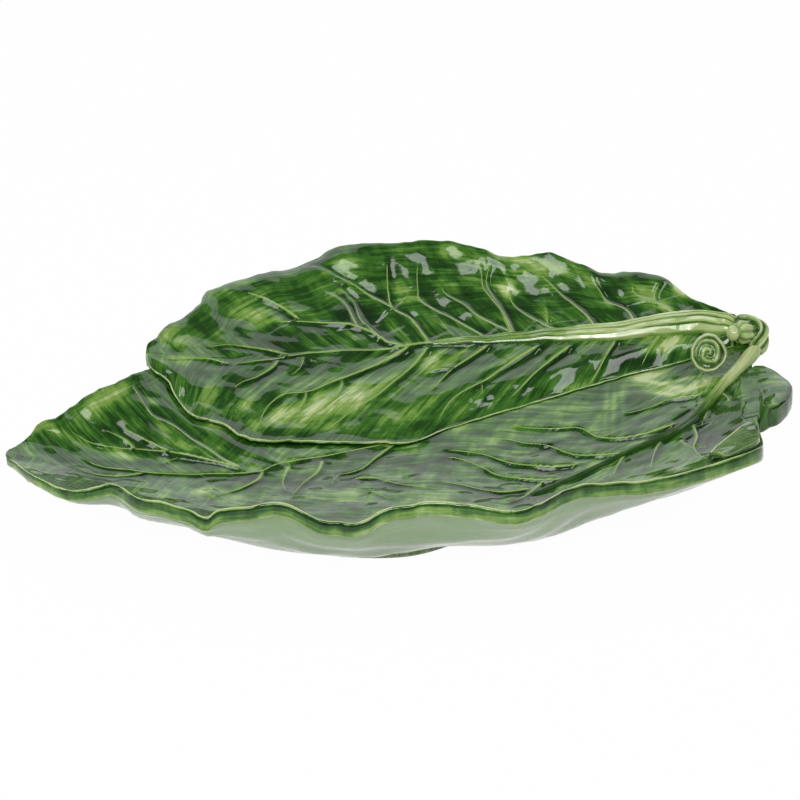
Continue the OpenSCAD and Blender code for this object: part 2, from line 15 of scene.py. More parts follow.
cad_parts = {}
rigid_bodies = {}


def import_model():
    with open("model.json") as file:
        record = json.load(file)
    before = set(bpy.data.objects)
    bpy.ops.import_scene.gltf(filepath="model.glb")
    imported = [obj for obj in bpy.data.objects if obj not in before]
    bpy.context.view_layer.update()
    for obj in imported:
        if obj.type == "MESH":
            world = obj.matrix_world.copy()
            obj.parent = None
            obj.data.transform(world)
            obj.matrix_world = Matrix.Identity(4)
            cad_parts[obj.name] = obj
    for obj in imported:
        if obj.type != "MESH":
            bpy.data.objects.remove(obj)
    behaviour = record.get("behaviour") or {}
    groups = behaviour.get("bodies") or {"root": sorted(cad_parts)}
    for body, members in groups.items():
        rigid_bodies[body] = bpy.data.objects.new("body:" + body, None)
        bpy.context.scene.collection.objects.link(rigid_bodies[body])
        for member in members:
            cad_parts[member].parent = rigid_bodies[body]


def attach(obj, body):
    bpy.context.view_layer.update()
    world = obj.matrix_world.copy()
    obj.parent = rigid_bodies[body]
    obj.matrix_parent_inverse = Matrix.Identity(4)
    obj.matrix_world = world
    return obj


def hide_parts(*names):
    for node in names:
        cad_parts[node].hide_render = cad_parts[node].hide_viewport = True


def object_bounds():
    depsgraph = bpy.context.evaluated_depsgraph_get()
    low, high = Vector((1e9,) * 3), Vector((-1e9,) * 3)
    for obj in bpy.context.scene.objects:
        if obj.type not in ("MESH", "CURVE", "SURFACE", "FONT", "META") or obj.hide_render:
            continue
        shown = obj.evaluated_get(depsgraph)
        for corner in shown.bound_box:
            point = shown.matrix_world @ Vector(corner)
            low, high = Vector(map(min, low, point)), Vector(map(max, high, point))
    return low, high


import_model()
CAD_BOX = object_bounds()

log = logging.getLogger("leaf_platter")

MM = 0.001
BODY = "root"

MASKS = ("crest", "pool", "tone", "under", "turn")

Array = np.ndarray
Pair = tuple[float, float]
Triple = tuple[float, float, float]
Shares = tuple[float, ...]
Track = tuple[Pair, ...]
Colour = tuple[float, float, float, float]
Faces = list[tuple[int, ...]]
Grid = dict[str, Array]
Socket = bpy.types.NodeSocket


# --- Shares of half length, half width and rim height, as in the part's own source ---

LOWER_FRONT = (
    (-0.996, -0.33, 0.49), (-0.92, -0.54, 0.535), (-0.83, -0.68, 0.57), (-0.76, -0.7, 0.63),
    (-0.72, -0.71, 0.65), (-0.66, -0.82, 0.66), (-0.61, -0.86, 0.67), (-0.53, -0.93, 0.67),
    (-0.49, -0.96, 0.65), (-0.455, -0.955, 0.71), (-0.38, -0.975, 0.76), (-0.305, -0.98, 0.8),
    (-0.24, -1, 0.74), (-0.18, -1, 0.66), (-0.1, -1, 0.66), (-0.035, -0.98, 0.74),
    (0.065, -0.975, 0.8), (0.18, -0.99, 0.79), (0.25, -1, 0.75), (0.33, -0.965, 0.74),
    (0.43, -0.86, 0.79), (0.51, -0.82, 0.8), (0.61, -0.77, 0.76), (0.71, -0.69, 0.72),
    (0.79, -0.605, 0.71), (0.87, -0.54, 0.66), (0.915, -0.46, 0.65), (0.92, -0.35, 0.65),
    (0.91, -0.17, 0.65), (0.91, 0, 0.66), (0.905, 0.14, 0.67), (0.897, 0.26, 0.68))
LOWER_BACK = (
    (-0.993, -0.28, 0.49), (-0.965, -0.22, 0.52), (-0.945, -0.185, 0.535), (-0.915, -0.11, 0.585),
    (-0.87, -0.085, 0.6), (-0.835, -0.01, 0.625), (-0.8, 0.02, 0.69), (-0.77, 0.045, 0.7),
    (-0.735, 0.09, 0.7), (-0.69, 0.165, 0.71), (-0.65, 0.23, 0.72), (-0.55, 0.42, 0.68),
    (-0.42, 0.56, 0.65), (-0.21, 0.65, 0.65), (0, 0.68, 0.66), (0.26, 0.69, 0.68),
    (0.53, 0.65, 0.72), (0.7, 0.6, 0.75), (0.905, 0.55, 0.79))
LOWER_MIDRIB = (
    (-1, -0.305), (-0.815, -0.33), (-0.65, -0.305), (-0.53, -0.27), (-0.41, -0.24),
    (-0.315, -0.19), (-0.15, -0.085), (0.035, 0.03), (0.125, 0.105), (0.27, 0.19), (0.405, 0.26),
    (0.56, 0.325), (0.725, 0.355), (0.89, 0.385))
UPPER_BACK = (
    (-0.645, 0.31, 0.73), (-0.634, 0.38, 0.75), (-0.6, 0.5, 0.77), (-0.52, 0.63, 0.81),
    (-0.495, 0.73, 0.84), (-0.405, 0.84, 0.84), (-0.305, 0.895, 0.86), (-0.225, 0.97, 0.89),
    (-0.16, 0.985, 0.97), (-0.06, 1, 0.99), (0.04, 1, 1), (0.125, 1, 1), (0.205, 0.97, 0.965),
    (0.25, 0.94, 0.935), (0.315, 0.93, 0.95), (0.38, 0.935, 0.965), (0.46, 0.89, 0.92),
    (0.51, 0.85, 0.89), (0.575, 0.85, 0.9), (0.665, 0.81, 0.885), (0.7, 0.76, 0.865),
    (0.735, 0.685, 0.835), (0.77, 0.63, 0.805), (0.795, 0.595, 0.8), (0.825, 0.55, 0.805),
    (0.86, 0.495, 0.81))
UPPER_FRONT = (
    (-0.645, 0.27), (-0.63, 0.225), (-0.605, 0.2), (-0.588, 0.175), (-0.575, 0.115),
    (-0.55, 0.045), (-0.525, 0.012), (-0.485, 0.006), (-0.45, 0.002), (-0.415, -0.042),
    (-0.38, -0.058), (-0.34, -0.054), (-0.28, -0.034), (-0.2, -0.022), (-0.12, -0.016),
    (-0.04, -0.01), (0.03, 0.005), (0.125, 0.09), (0.27, 0.18), (0.405, 0.25), (0.56, 0.315),
    (0.725, 0.355), (0.85, 0.395))
UPPER_MIDRIB = (
    (-0.647, 0.28), (-0.6, 0.31), (-0.515, 0.335), (-0.43, 0.375), (-0.345, 0.415), (-0.23, 0.455),
    (-0.12, 0.475), (-0.03, 0.49), (0.075, 0.51), (0.25, 0.525), (0.38, 0.53), (0.51, 0.525),
    (0.635, 0.52), (0.76, 0.5), (0.86, 0.445))
LOWER_STALK = (
    (0.905, 0.35), (0.865, 0.255), (0.825, 0.172), (0.788, 0.077), (0.748, -0.018),
    (0.686, -0.095), (0.557, -0.176), (0.453, -0.264), (0.333, -0.36))

# Rows of each leaf: shares of the midrib, the front edge and the back edge, and how free those
# two edges stand
LOWER_ROWS = (
    (0, 0, 0, 1, 1), (0.06, 0.055, 0.035, 1, 1), (0.12, 0.11, 0.075, 1, 1),
    (0.175, 0.15, 0.11, 1, 1), (0.235, 0.185, 0.15, 1, 1), (0.3, 0.23, 0.205, 1, 1),
    (0.35, 0.26, 0.245, 1, 0.3), (0.425, 0.325, 0.32, 1, 0), (0.495, 0.38, 0.395, 1, 0),
    (0.575, 0.43, 0.46, 1, 0), (0.675, 0.475, 0.55, 1, 0), (0.77, 0.505, 0.65, 1, 0),
    (0.89, 0.54, 0.78, 1, 0), (0.95, 0.61, 0.86, 1, 0), (0.97, 0.685, 0.9, 0.6, 0),
    (0.98, 0.74, 0.93, 0, 0), (0.985, 0.81, 0.95, 0, 0), (0.99, 0.87, 0.97, 0, 0),
    (0.995, 0.935, 0.985, 0, 0), (1, 1, 1, 0, 0))
UPPER_ROWS = (
    (0, 0, 0, 0, 1), (0.09, 0.1, 0.065, 0, 1), (0.205, 0.15, 0.165, 0, 1), (0.33, 0.2, 0.26, 0, 1),
    (0.42, 0.245, 0.345, 0, 1), (0.475, 0.32, 0.43, 0, 1), (0.56, 0.405, 0.485, 0, 1),
    (0.635, 0.49, 0.53, 0, 1), (0.695, 0.575, 0.59, 0, 1), (0.76, 0.69, 0.64, 0, 1),
    (0.83, 0.79, 0.72, 0, 1), (0.89, 0.86, 0.785, 0, 1), (0.94, 0.915, 0.88, 0, 1),
    (1, 1, 1, 0, 0))


# --- Veins as they lie in the photograph's frame, in pixels from the root to the end ---


class Vein(NamedTuple):
    """One vein: its track in the photograph's frame, its rise in mm, its fold and its end rise. A
    vein that doesn't rise is a crease."""

    track: Track
    rise: float = 1.0
    fold: float = 1.0
    end: float = 0.25


UPPER_VEINS = tuple(Vein(*row) for row in (
    (((475, 343), (428, 343), (407, 346), (387, 349), (340, 351), (307, 353), (285, 356),
      (263, 360), (240, 363), (215, 365)), 1.7, 0.5, 0.4),
    (((226, 363), (213, 359), (198, 357.5), (160, 357)), 0.9, 0.5),
    (((400, 346), (387, 343), (380, 338), (357, 328), (337, 324), (315, 322), (297, 321.5),
      (263, 320)), 1.5, 0.7, 0.4),
    (((285, 354), (267, 350), (248, 347), (227, 345), (202, 347)), 1.1, 0.7),
    (((297, 319), (283, 308), (265, 299), (242, 291)), 1.3, 1),
    (((278, 360), (272, 367), (257, 376), (240, 382), (230, 390)), 1.1, 0.8),
    (((304, 357), (300, 367), (290, 375)), 0.8, 0.6),
    (((428, 341), (420, 330), (410, 318), (393, 308), (388, 290), (387, 268),
      (386.5, 258)), 1.5, 1.3),
    (((393, 308), (373, 296), (352, 283), (328, 274)), 1.2, 1),
    (((380, 338), (370, 328), (360, 317), (355, 303), (346, 291)), 1, 1.3),
    (((357, 327), (352, 317), (347, 307), (338, 297.5), (322, 290)), 1.1, 1.2),
    (((407, 348), (387, 360), (357, 372), (332, 382), (307, 392), (287, 393), (273, 400),
      (263, 410), (255, 428)), 1.5, 1.1),
    (((427, 348), (415, 363), (398, 378), (377, 395), (353, 407), (337, 417),
      (317, 427)), 1.5, 1.2),
    (((343, 380), (338, 392), (320, 405), (298, 420)), 0.9, 0.6),
    (((307, 392), (304, 400), (297, 408), (285, 418)), 0.9, 0.6),
    (((485, 338), (475, 331), (453, 318), (437, 310), (420, 300), (418, 290), (417, 277),
      (418, 261)), 1.4, 1.3),
    (((515, 337), (495, 325), (475, 313), (463, 303), (445, 293), (440, 281)), 1.3, 1.1),
    (((513, 337), (508, 325), (502, 312), (490, 297), (483, 287), (481.5, 273),
      (481, 262)), 1.3, 0.6),
    (((517, 337), (510, 322), (500, 305), (487.5, 286), (487, 276), (492, 262)), 1, 1.5),
    (((566, 336), (553, 328), (542, 322), (527, 313), (513, 302), (507, 285)), 1.3, 1.1),
    (((547.5, 322), (546.5, 310), (543, 295)), 0.6, 0.5),
    (((598, 331), (590, 318), (578, 307), (562, 295), (548, 283), (537, 274)), 1.3, 1.2),
    (((635, 324), (632, 315), (625, 308), (608, 301), (600, 291), (593, 280), (592, 268)), 1, 1),
    (((675, 315), (667, 307), (655, 301), (635, 294), (632, 281)), 1.1, 0.8),
    (((655, 300), (655, 292), (663, 282)), 1, 1.4),
    (((487, 346), (473, 355), (453, 367), (442, 377), (433, 388), (424, 393)), 1.4, 1.1),
    (((537, 347), (520, 357), (500, 370), (485, 380), (460, 392), (447, 402),
      (436, 416)), 1.5, 1.2),
    (((569, 347), (553, 358), (537, 370), (523, 382), (508, 393)), 1.4, 1.1),
    (((615, 341), (608, 352), (597, 367), (585, 379)), 1.4, 1),
    (((661, 334), (652, 345), (641, 359)), 1.3, 0.8),
    (((453, 367.5), (437, 368), (423, 372)), 0.7, 0.5),
    (((482, 382), (483, 397)), 0.6, 0.3),
    (((340, 287), (352, 299), (360, 310), (372, 325), (382, 337)), 0, 0.9),
    (((300, 262), (330, 272), (356, 290), (372, 303)), 0, 0.7),
))
LOWER_VEINS = tuple(Vein(*row) for row in (
    (((445, 427), (435, 431), (423, 435), (408, 440), (380, 445), (350, 451), (323, 456),
      (293, 461), (275, 465), (260, 471.5), (238, 473.5), (217, 474), (183, 474), (150, 473),
      (130, 471), (100, 466), (83, 459), (70, 452), (52, 446)), 1.7, 1, 0.3),
    (((143, 473), (113, 476), (82, 471), (62, 462)), 0.8, 0.6),
    (((240, 469), (208, 461), (175, 453), (142, 449), (117, 447.5), (93, 443), (77, 435),
      (64, 427)), 1.3, 0.8),
    (((240, 468), (223, 460), (205, 447), (190, 438), (177, 428), (167, 422), (153, 416),
      (145, 406), (138, 395), (127, 382)), 1.4, 1.1),
    (((168, 452), (147, 442), (130, 433), (119, 424)), 1.2, 0.8),
    (((133, 448), (125, 440), (113, 434), (99, 428)), 1, 0.6),
    (((263, 472), (258, 480), (242, 488), (217, 495), (202, 503)), 1.1, 0.8),
    (((290, 465), (285, 475), (283, 483), (288, 493)), 1, 0.7),
    (((323, 460), (318, 472), (303, 483), (290, 497)), 1.1, 0.9),
    (((423, 435), (397, 443), (377, 457), (363, 468), (347, 473), (338, 475), (330, 485),
      (320, 488)), 1.2, 1.2),
    (((357, 478), (375, 477.5), (400, 484), (447, 490)), 0.9, 0.9),
    (((372, 491), (388, 498), (400, 498)), 0.9, 0.7),
    (((700, 395), (673, 399), (651, 407), (619, 416)), 1.2, 1.1),
    (((676, 423), (648, 433), (617, 439), (597, 437), (578, 428), (539, 429),
      (498, 424)), 1.4, 1.3),
    (((620, 453), (597, 455), (571, 454), (549, 446), (525, 443), (510, 439.5),
      (489, 438)), 1.3, 1.2),
    (((578, 463), (549, 467), (512, 463), (493, 458), (476, 453), (447, 450.5),
      (430, 455)), 1.3, 1.2),
    (((559, 478.5), (525, 479), (498, 475), (483, 468), (467, 460), (452, 457),
      (432, 460)), 1.4, 1.2),
    (((527, 489), (503, 492), (481, 489), (459, 484), (430, 482)), 1.2, 1),
    (((541, 482), (522, 497), (498, 505)), 1.1, 0.9),
    (((624, 456), (617, 467), (613, 476)), 1.2, 0.5),
    (((668, 434), (658, 446), (653, 457), (650, 471)), 1.2, 0.5),
    (((710, 404), (704, 419), (701, 425)), 1.2, 0.5),
    (((722, 393), (727, 397), (729, 402)), 1.3, 0.5),
    (((693, 424), (697, 436), (694, 447), (699, 455), (712, 460)), 1.3, 0.7),
    (((681, 440), (690, 446), (703, 447), (714, 443)), 1, 0.7),
    (((163, 463), (173, 458), (180, 456)), 0.7, 0.5),
    (((206, 480), (225, 478), (240, 479)), 0.5, 0.8),
    (((275, 463), (250, 455), (225, 443), (211, 434), (196, 424)), 0, 0.6),
    (((178, 399), (190, 418), (205, 430)), 0, 0.5),
    (((170, 440), (150, 425), (138, 408)), 0, 0.5),
    (((350, 437), (300, 441), (262, 444)), 0, 0.6),
    (((560, 440), (530, 452), (505, 450)), 0, 0.5),
    (((690, 408), (672, 420), (655, 428)), 0, 0.9),
))


class Patch(NamedTuple):
    """A patch of glaze laid on lighter or darker, in the photograph's frame: its middle and its
    reach along and across in pixels, its tone, and its turn in degrees, clockwise from level."""

    u: float
    v: float
    along: float
    across: float
    tone: float
    turn: float = 0.0


UPPER_PATCHES = tuple(Patch(*row) for row in (
    (345, 399, 52, 9, 0.4, -28), (305, 408, 30, 8, 0.28, -30), (277, 415, 15, 8, 0.42, -35),
    (256, 424, 8, 6, 0.3), (400, 418, 34, 9, 0.26, -6), (330, 428, 30, 5, 0.16),
    (210, 398, 9, 15, 0.32, 25), (246, 404, 8, 15, 0.26, 30), (253, 314, 20, 8, 0.34, 8),
    (290, 309, 17, 6, 0.24, 12), (232, 296, 16, 5, 0.14, 20), (180, 360, 13, 5, 0.3),
    (428, 362, 16, 9, 0.42, -30), (458, 357, 22, 6, 0.28, -30), (505, 366, 24, 8, 0.16, -30),
    (565, 389, 12, 5, 0.26), (447, 252, 20, 7, 0.3), (400, 250, 16, 6, 0.2),
    (540, 264, 40, 6, 0.36, 12), (508, 290, 8, 12, 0.46, -15), (548, 315, 8, 18, 0.24, -20),
    (613, 268, 16, 7, 0.32, 15), (643, 292, 20, 8, 0.36, 25), (681, 290, 13, 7, 0.52, 30),
    (666, 306, 14, 5, 0.3, 25), (345, 262, 18, 7, 0.26), (668, 344, 20, 8, 0.66, -20),
    (645, 352, 8, 5, 0.24), (402, 293, 12, 10, 0.18), (240, 281, 12, 4, 0.28),
    (165, 334, 9, 6, 0.22, -40), (183, 341, 9, 5, 0.24), (430, 318, 14, 4, 0.14, 30),
    (470, 330, 14, 4, 0.12, 30), (345, 404, 72, 15, 0.14, -20), (555, 366, 72, 12, -0.14, -8),
    (281, 340, 22, 12, -0.22), (350, 312, 22, 12, -0.26), (374, 322, 12, 14, -0.22),
    (300, 366, 30, 5, -0.2, -8), (193, 371, 22, 6, -0.14), (160, 322, 12, 8, -0.2),
    (205, 325, 16, 7, -0.14), (530, 297, 16, 14, -0.26), (572, 300, 18, 14, -0.2),
    (608, 292, 18, 9, -0.24), (590, 318, 24, 10, -0.14), (628, 307, 14, 8, -0.22),
    (628, 356, 22, 13, -0.3), (430, 292, 8, 14, -0.2), (467, 295, 10, 12, -0.16),
    (390, 268, 7, 12, -0.2), (273, 400, 9, 6, -0.22), (230, 423, 16, 5, -0.22, 30),
    (262, 377, 20, 4, -0.18, -20), (373, 384, 26, 4, -0.18, -30), (325, 280, 20, 6, -0.12, 20),
    (700, 355, 8, 16, -0.2),
))
LOWER_PATCHES = tuple(Patch(*row) for row in (
    (655, 375, 18, 6, 0.5, -8), (670, 389, 27, 7, 0.52, 4), (702, 382, 24, 5, 0.42, -12),
    (640, 380, 12, 5, 0.3), (658, 383, 24, 1.7, 0.46, 10), (684, 379, 22, 1.7, 0.42, -12),
    (664, 394, 20, 1.5, 0.4, 8), (690, 389, 18, 1.6, 0.36, -14), (672, 385, 14, 1.5, -0.3, -4),
    (455, 512, 52, 7, 0.34, 2), (606, 408, 2.4, 24, 0.2, 4), (614, 406, 2.2, 26, 0.24, 2),
    (623, 404, 2.6, 24, 0.2, -2), (320, 475, 80, 25, -0.08), (460, 427, 32, 6, 0.26, -6),
    (518, 409, 22, 4, 0.24, -12), (545, 421, 34, 6, 0.22, 4), (476, 440, 24, 5, 0.34, 8),
    (570, 411, 22, 6, 0.2), (505, 455, 24, 4, 0.18, 6), (560, 436, 26, 4, 0.14, 10),
    (640, 440, 22, 4, 0.14, -12), (595, 463, 24, 5, 0.14, -8), (660, 410, 18, 4, 0.14, -14),
    (103, 399, 17, 12, 0.4, -30), (123, 387, 10, 6, 0.3, -30), (153, 402, 8, 6, 0.26),
    (167, 435, 18, 9, 0.34, 40), (187, 446, 10, 4, 0.22, 25), (210, 427, 15, 7, 0.34, 35),
    (72, 438, 22, 5, 0.36, 30), (40, 427, 12, 6, 0.28, -30), (115, 453, 24, 6, 0.3, 12),
    (200, 492, 10, 4, 0.4, -15), (345, 497, 30, 7, 0.26), (389, 476, 30, 6, 0.2, 5),
    (420, 452, 26, 5, 0.16), (300, 470, 24, 5, 0.14, -15), (450, 495, 34, 5, 0.16),
    (30, 450, 12, 6, 0.16, 20), (250, 496, 20, 4, 0.14), (330, 452, 50, 4, 0.14, -10),
    (735, 402, 12, 10, 0.04), (133, 413, 10, 7, -0.22, 40), (145, 463, 22, 4, -0.18),
    (222, 436, 22, 5, -0.26, 30), (150, 424, 14, 4, -0.18, 40), (95, 425, 22, 4, -0.12, 20),
    (703, 436, 18, 14, -0.34), (688, 418, 12, 8, -0.3), (646, 458, 22, 6, -0.18, -20),
    (300, 443, 56, 4, -0.3, -2), (444, 460, 12, 3, -0.26, 5), (421, 468, 14, 3, -0.28, 8),
    (365, 480, 10, 3, -0.26), (395, 487, 24, 3, -0.22, 4), (500, 446, 26, 3, -0.2, 6),
    (530, 470, 30, 3, -0.18, 2), (600, 446, 24, 4, -0.12, 8), (250, 480, 24, 4, -0.16, 4),
    (370, 506, 40, 3, -0.2, 4), (745, 425, 10, 10, -0.14), (60, 458, 26, 4, -0.1, 20),
    (725, 392, 10, 6, -0.1),
))


# --- Small maths ---


def ease(k: Array) -> Array:
    """Smooth step of a share between 0 and 1."""
    k = np.clip(k, 0.0, 1.0)
    return k * k * (3.0 - 2.0 * k)


def mix(a: Array, b: Array, k: Array) -> Array:
    """Value at the share k between a and b."""
    return a + (b - a) * k


def bell(value: Array, width: float) -> Array:
    """Bell curve that is 1 at the value 0."""
    return np.exp(-((value / width) ** 2))


def raised(places: Array, heights: Array) -> Array:
    """Points from places and their heights, one row each."""
    return np.concatenate([places, heights[..., None]], axis=-1).reshape(-1, 3)


def unit(ways: Array) -> Array:
    """Ways at length 1."""
    return ways / np.linalg.norm(ways, axis=-1, keepdims=True)


def running(points: Array) -> Array:
    """Length of a line up to each of its points."""
    return np.concatenate([[0.0], np.cumsum(np.linalg.norm(np.diff(points, axis=0), axis=1))])


def calmed(values: Array, reach: int) -> Array:
    """Mean of each value and those within a reach to both sides of it."""
    steps = 2 * reach + 1
    return np.convolve(np.pad(values, reach, mode="edge"), np.ones(steps) / steps, mode="valid")


def from_ends(count: int, reach: float) -> Array:
    """Rise from 0 at both ends of a row of points to 1 at a reach from them."""
    steps = np.arange(count)
    return ease(np.minimum(steps, steps[::-1]) / reach)


def blend(a: Array, b: Array, c: Array, d: Array,
          k: Array) -> Array:
    """Smooth curve through b and c, at the share k between them."""
    return 0.5 * (2 * b + (c - a) * k + (2 * a - 5 * b + 4 * c - d) * k * k
                  + (3 * b - a - 3 * c + d) * k ** 3)


def around(table: Sequence[float], angle: Array) -> Array:
    """Values of a table that goes round in even steps.

    Args:
        table: One value for each step, from 0 degrees on.
        angle: Angles in degrees.

    Returns:
        The smooth value at each angle.
    """
    values = np.asarray(table, float)
    n = len(values)
    f = (angle % 360.0) * n / 360.0
    i = np.floor(f).astype(int)
    return blend(*(values[(i + step) % n] for step in (-1, 0, 1, 2)), f - i)


LATTICE = 64


def soft_noise(places: Array, step: object, seed: int) -> Array:
    """Smooth gradient noise on a lattice.

    Args:
        places: Places in mm, any shape that ends in 2.
        step: Width of a lattice cell in mm, or its width and its length.
        seed: Fixed seed of the lattice.

    Returns:
        Values of about -1 to 1.
    """
    turns = np.random.RandomState(seed).uniform(0.0, 2 * math.pi, (LATTICE, LATTICE))
    p = places / np.asarray(step, float)
    i = np.floor(p).astype(int)
    f = p - i
    k = f ** 3 * (f * (f * 6.0 - 15.0) + 10.0)

    def corner(a: int, b: int) -> Array:
        """Slope of the lattice's corner at each place."""
        turn = turns[(i[..., 0] + a) % LATTICE, (i[..., 1] + b) % LATTICE]
        return np.cos(turn) * (f[..., 0] - a) + np.sin(turn) * (f[..., 1] - b)

    low = mix(corner(0, 0), corner(1, 0), k[..., 0])
    high = mix(corner(0, 1), corner(1, 1), k[..., 0])
    return 1.6 * mix(low, high, k[..., 1])


def wavy(reach: Array, wave: float, seed: int) -> Array:
    """Smooth noise along a line, at lengths in mm, with waves of about the given length."""
    places = np.stack([np.asarray(reach, float), np.full(np.shape(reach), 0.37 * wave)], axis=-1)
    return soft_noise(places, wave, seed) + 0.5 * soft_noise(places * 2.1, wave, seed + 1)


def smooth_line(points: Array, step: float) -> Array:
    """A smooth line through points, resampled.

    Args:
        points: Points in mm.
        step: Wanted distance between the new points in mm.

    Returns:
        The new points.
    """
    points = np.asarray(points, float)
    sums = running(points)
    count = max(int(math.ceil(sums[-1] / step)) + 1, 4)
    at = np.linspace(0.0, sums[-1], count)
    i = np.clip(np.searchsorted(sums, at, side="right") - 1, 0, len(points) - 2)
    k = ((at - sums[i]) / np.maximum(sums[i + 1] - sums[i], 1e-9))[:, None]
    n = len(points) - 1
    return blend(points[np.maximum(i - 1, 0)], points[i], points[i + 1],
                 points[np.minimum(i + 2, n)], k)


def beside(xy: Array, line: Array) -> tuple[Array, Array]:
    """How places lie beside a line.

    Args:
        xy: Places in mm, one row each.
        line: Points of the line in mm.

    Returns:
        Distance to the line, above 0 on the side that faces the viewer's right, and the share
        along the line.
    """
    best = np.full(len(xy), 1e9)
    along = np.zeros(len(xy))
    side = np.ones(len(xy))
    whole = line[-1] - line[0]
    right = 1.0 if 0.6 * whole[1] + 0.4 * whole[0] >= 0 else -1.0
    for i in range(len(line) - 1):
        a, d = line[i], line[i + 1] - line[i]
        k = np.clip(((xy - a) @ d) / max(d @ d, 1e-9), 0.0, 1.0)
        off = xy - a - k[:, None] * d
        far = np.hypot(off[:, 0], off[:, 1])
        near = far < best
        best[near] = far[near]
        along[near] = (i + k[near]) / (len(line) - 1)
        side[near] = np.where(d[0] * off[near, 1] - d[1] * off[near, 0] <= 0, right, -right)
    return best * side, along


# --- The dish, its leaves and the photograph's frame ---


@dataclass(frozen=True)
class Dish:
    """The smooth upper face that both leaves follow, in mm."""

    half_length: float = 190.0
    half_width: float = 142.0
    rim_height: float = 62.0
    foot_height: float = 6.0
    lower_wall: float = 7.0
    upper_wall: float = 5.0
    fit_gap: float = 0.4
    middle_share: float = -0.32
    wall_power: float = 1.5
    reach_shares: Shares = (0.93, 1.10, 1.27, 1.30, 1.09, 0.88, 0.98, 0.87, 0.76, 0.685,
                                       0.715, 0.77)
    rim_shares: Shares = (0.645, 0.70, 0.77, 0.86, 0.75, 0.70, 0.50, 0.61, 0.74, 0.76,
                                     0.76, 0.70)
    wall_shares: Shares = (0.35, 0.16, 0.10, 0.10, 0.14, 0.24, 0.30, 0.48, 0.62, 0.62,
                                      0.56, 0.55)

    @property
    def floor(self) -> float:
        """Height of the dish's floor."""
        return self.foot_height + self.lower_wall

    @property
    def upper_lift(self) -> float:
        """Height of the upper leaf's resting pieces above the dish."""
        return self.upper_wall + 2 * self.fit_gap

    @property
    def middle(self) -> Array:
        """Middle of the dish."""
        return np.array([0.0, self.middle_share * self.half_width])

    def height(self, xy: Array) -> Array:
        """Height of the dish's face.

        Args:
            xy: Places in mm, any shape that ends in 2.

        Returns:
            The height at each place, in mm.
        """
        x = xy[..., 0] / self.half_length
        y = (xy[..., 1] - self.middle[1]) / self.half_width
        angle = np.degrees(np.arctan2(y, x))
        start = around(self.wall_shares, angle)
        share = np.hypot(x, y) / around(self.reach_shares, angle)
        rise = np.maximum(share - start, 0) / (1 - start)
        top = self.rim_height * around(self.rim_shares, angle)
        return self.floor + (top - self.floor) * rise ** self.wall_power

    def sized(self, shares: Sequence[Sequence[float]]) -> Array:
        """Real points of a table of shares, with height 0 where the table gives none."""
        full = np.array([tuple(s) + (0.0,) * (3 - len(s)) for s in shares])
        return full * np.array([self.half_length, self.half_width, self.rim_height])


DISH = Dish()


class LeafPath:
    """A smooth path through points, asked by the share of its length."""

    def __init__(self, points: Array) -> None:
        """Keeps the points and the length up to each of them."""
        self.points = points
        self.sums = running(points[:, :2])

    def at(self, share: Array) -> Array:
        """Places at shares of the length.

        Args:
            share: Shares from 0 to 1.

        Returns:
            One point for each share, in mm.
        """
        n = len(self.points) - 1
        reach = np.asarray(share, float) * self.sums[-1]
        i = np.clip(np.searchsorted(self.sums, reach, side="right") - 1, 0, n - 1)
        k = ((reach - self.sums[i]) / (self.sums[i + 1] - self.sums[i]))[..., None]
        p = self.points
        return blend(p[np.maximum(i - 1, 0)], p[i], p[i + 1], p[np.minimum(i + 2, n)], k)

    def heading(self, share: Array) -> Array:
        """Unit directions in the plane at shares of the length."""
        step = 0.01
        ahead, behind = np.minimum(share + step, 1.0), np.maximum(share - step, 0.0)
        return unit((self.at(ahead) - self.at(behind))[..., :2])


@dataclass(frozen=True)
class PhotoView:
    """The photograph's long-lens view of the platter, in pixels of its 800 px frame."""

    scale: float = 2.07
    middle: float = 400.0
    elevation: float = 24.0
    lens: float = 800.0
    sensor: float = 18.0
    look_at: Triple = (0.0, 20.0, 30.6)

    @property
    def distance(self) -> float:
        """Distance of the camera from the point that it looks at, in mm."""
        return 2 * self.middle * self.lens / self.sensor / self.scale

    @property
    def back(self) -> Array:
        """Direction from the object to the camera."""
        a = math.radians(self.elevation)
        return np.array([0.0, -math.cos(a), math.sin(a)])

    @property
    def up(self) -> Array:
        """Direction of the frame's upper edge."""
        a = math.radians(self.elevation)
        return np.array([0.0, math.sin(a), math.cos(a)])

    def pixels(self, points: Array) -> Array:
        """Pixels at which points in mm are seen."""
        off = points - np.array(self.look_at)
        size = self.scale * self.distance / (self.distance - off @ self.back)
        return np.stack([self.middle + size * off[..., 0],
                         self.middle - size * (off @ self.up)], axis=-1)

    def on_dish(self, track: Track, lift: float) -> Array:
        """Places on the dish that are seen at pixels.

        Args:
            track: Pixels of the frame.
            lift: How far the seen face lies above the dish, in mm.

        Returns:
            One place in mm for each pixel.
        """
        eye = np.array(self.look_at) + self.back * self.distance
        y = np.arange(160.0, -150.0, -0.5)
        found = []
        for u, v in track:
            way = (-self.back * self.scale * self.distance + self.up * (self.middle - v)
                   + np.array([u - self.middle, 0.0, 0.0]))
            ray = eye + way * ((y - eye[1]) / way[1])[:, None]
            above = ray[:, 2] - DISH.height(ray[:, :2]) - lift
            hit = int(np.argmax(above > 0))
            k = above[hit - 1] / (above[hit - 1] - above[hit]) if hit else 0.0
            found.append(mix(ray[max(hit - 1, 0), :2], ray[hit, :2], k))
        return np.array(found)


VIEW = PhotoView()


# --- Relief: what the veins, creases and patches do to a face ---


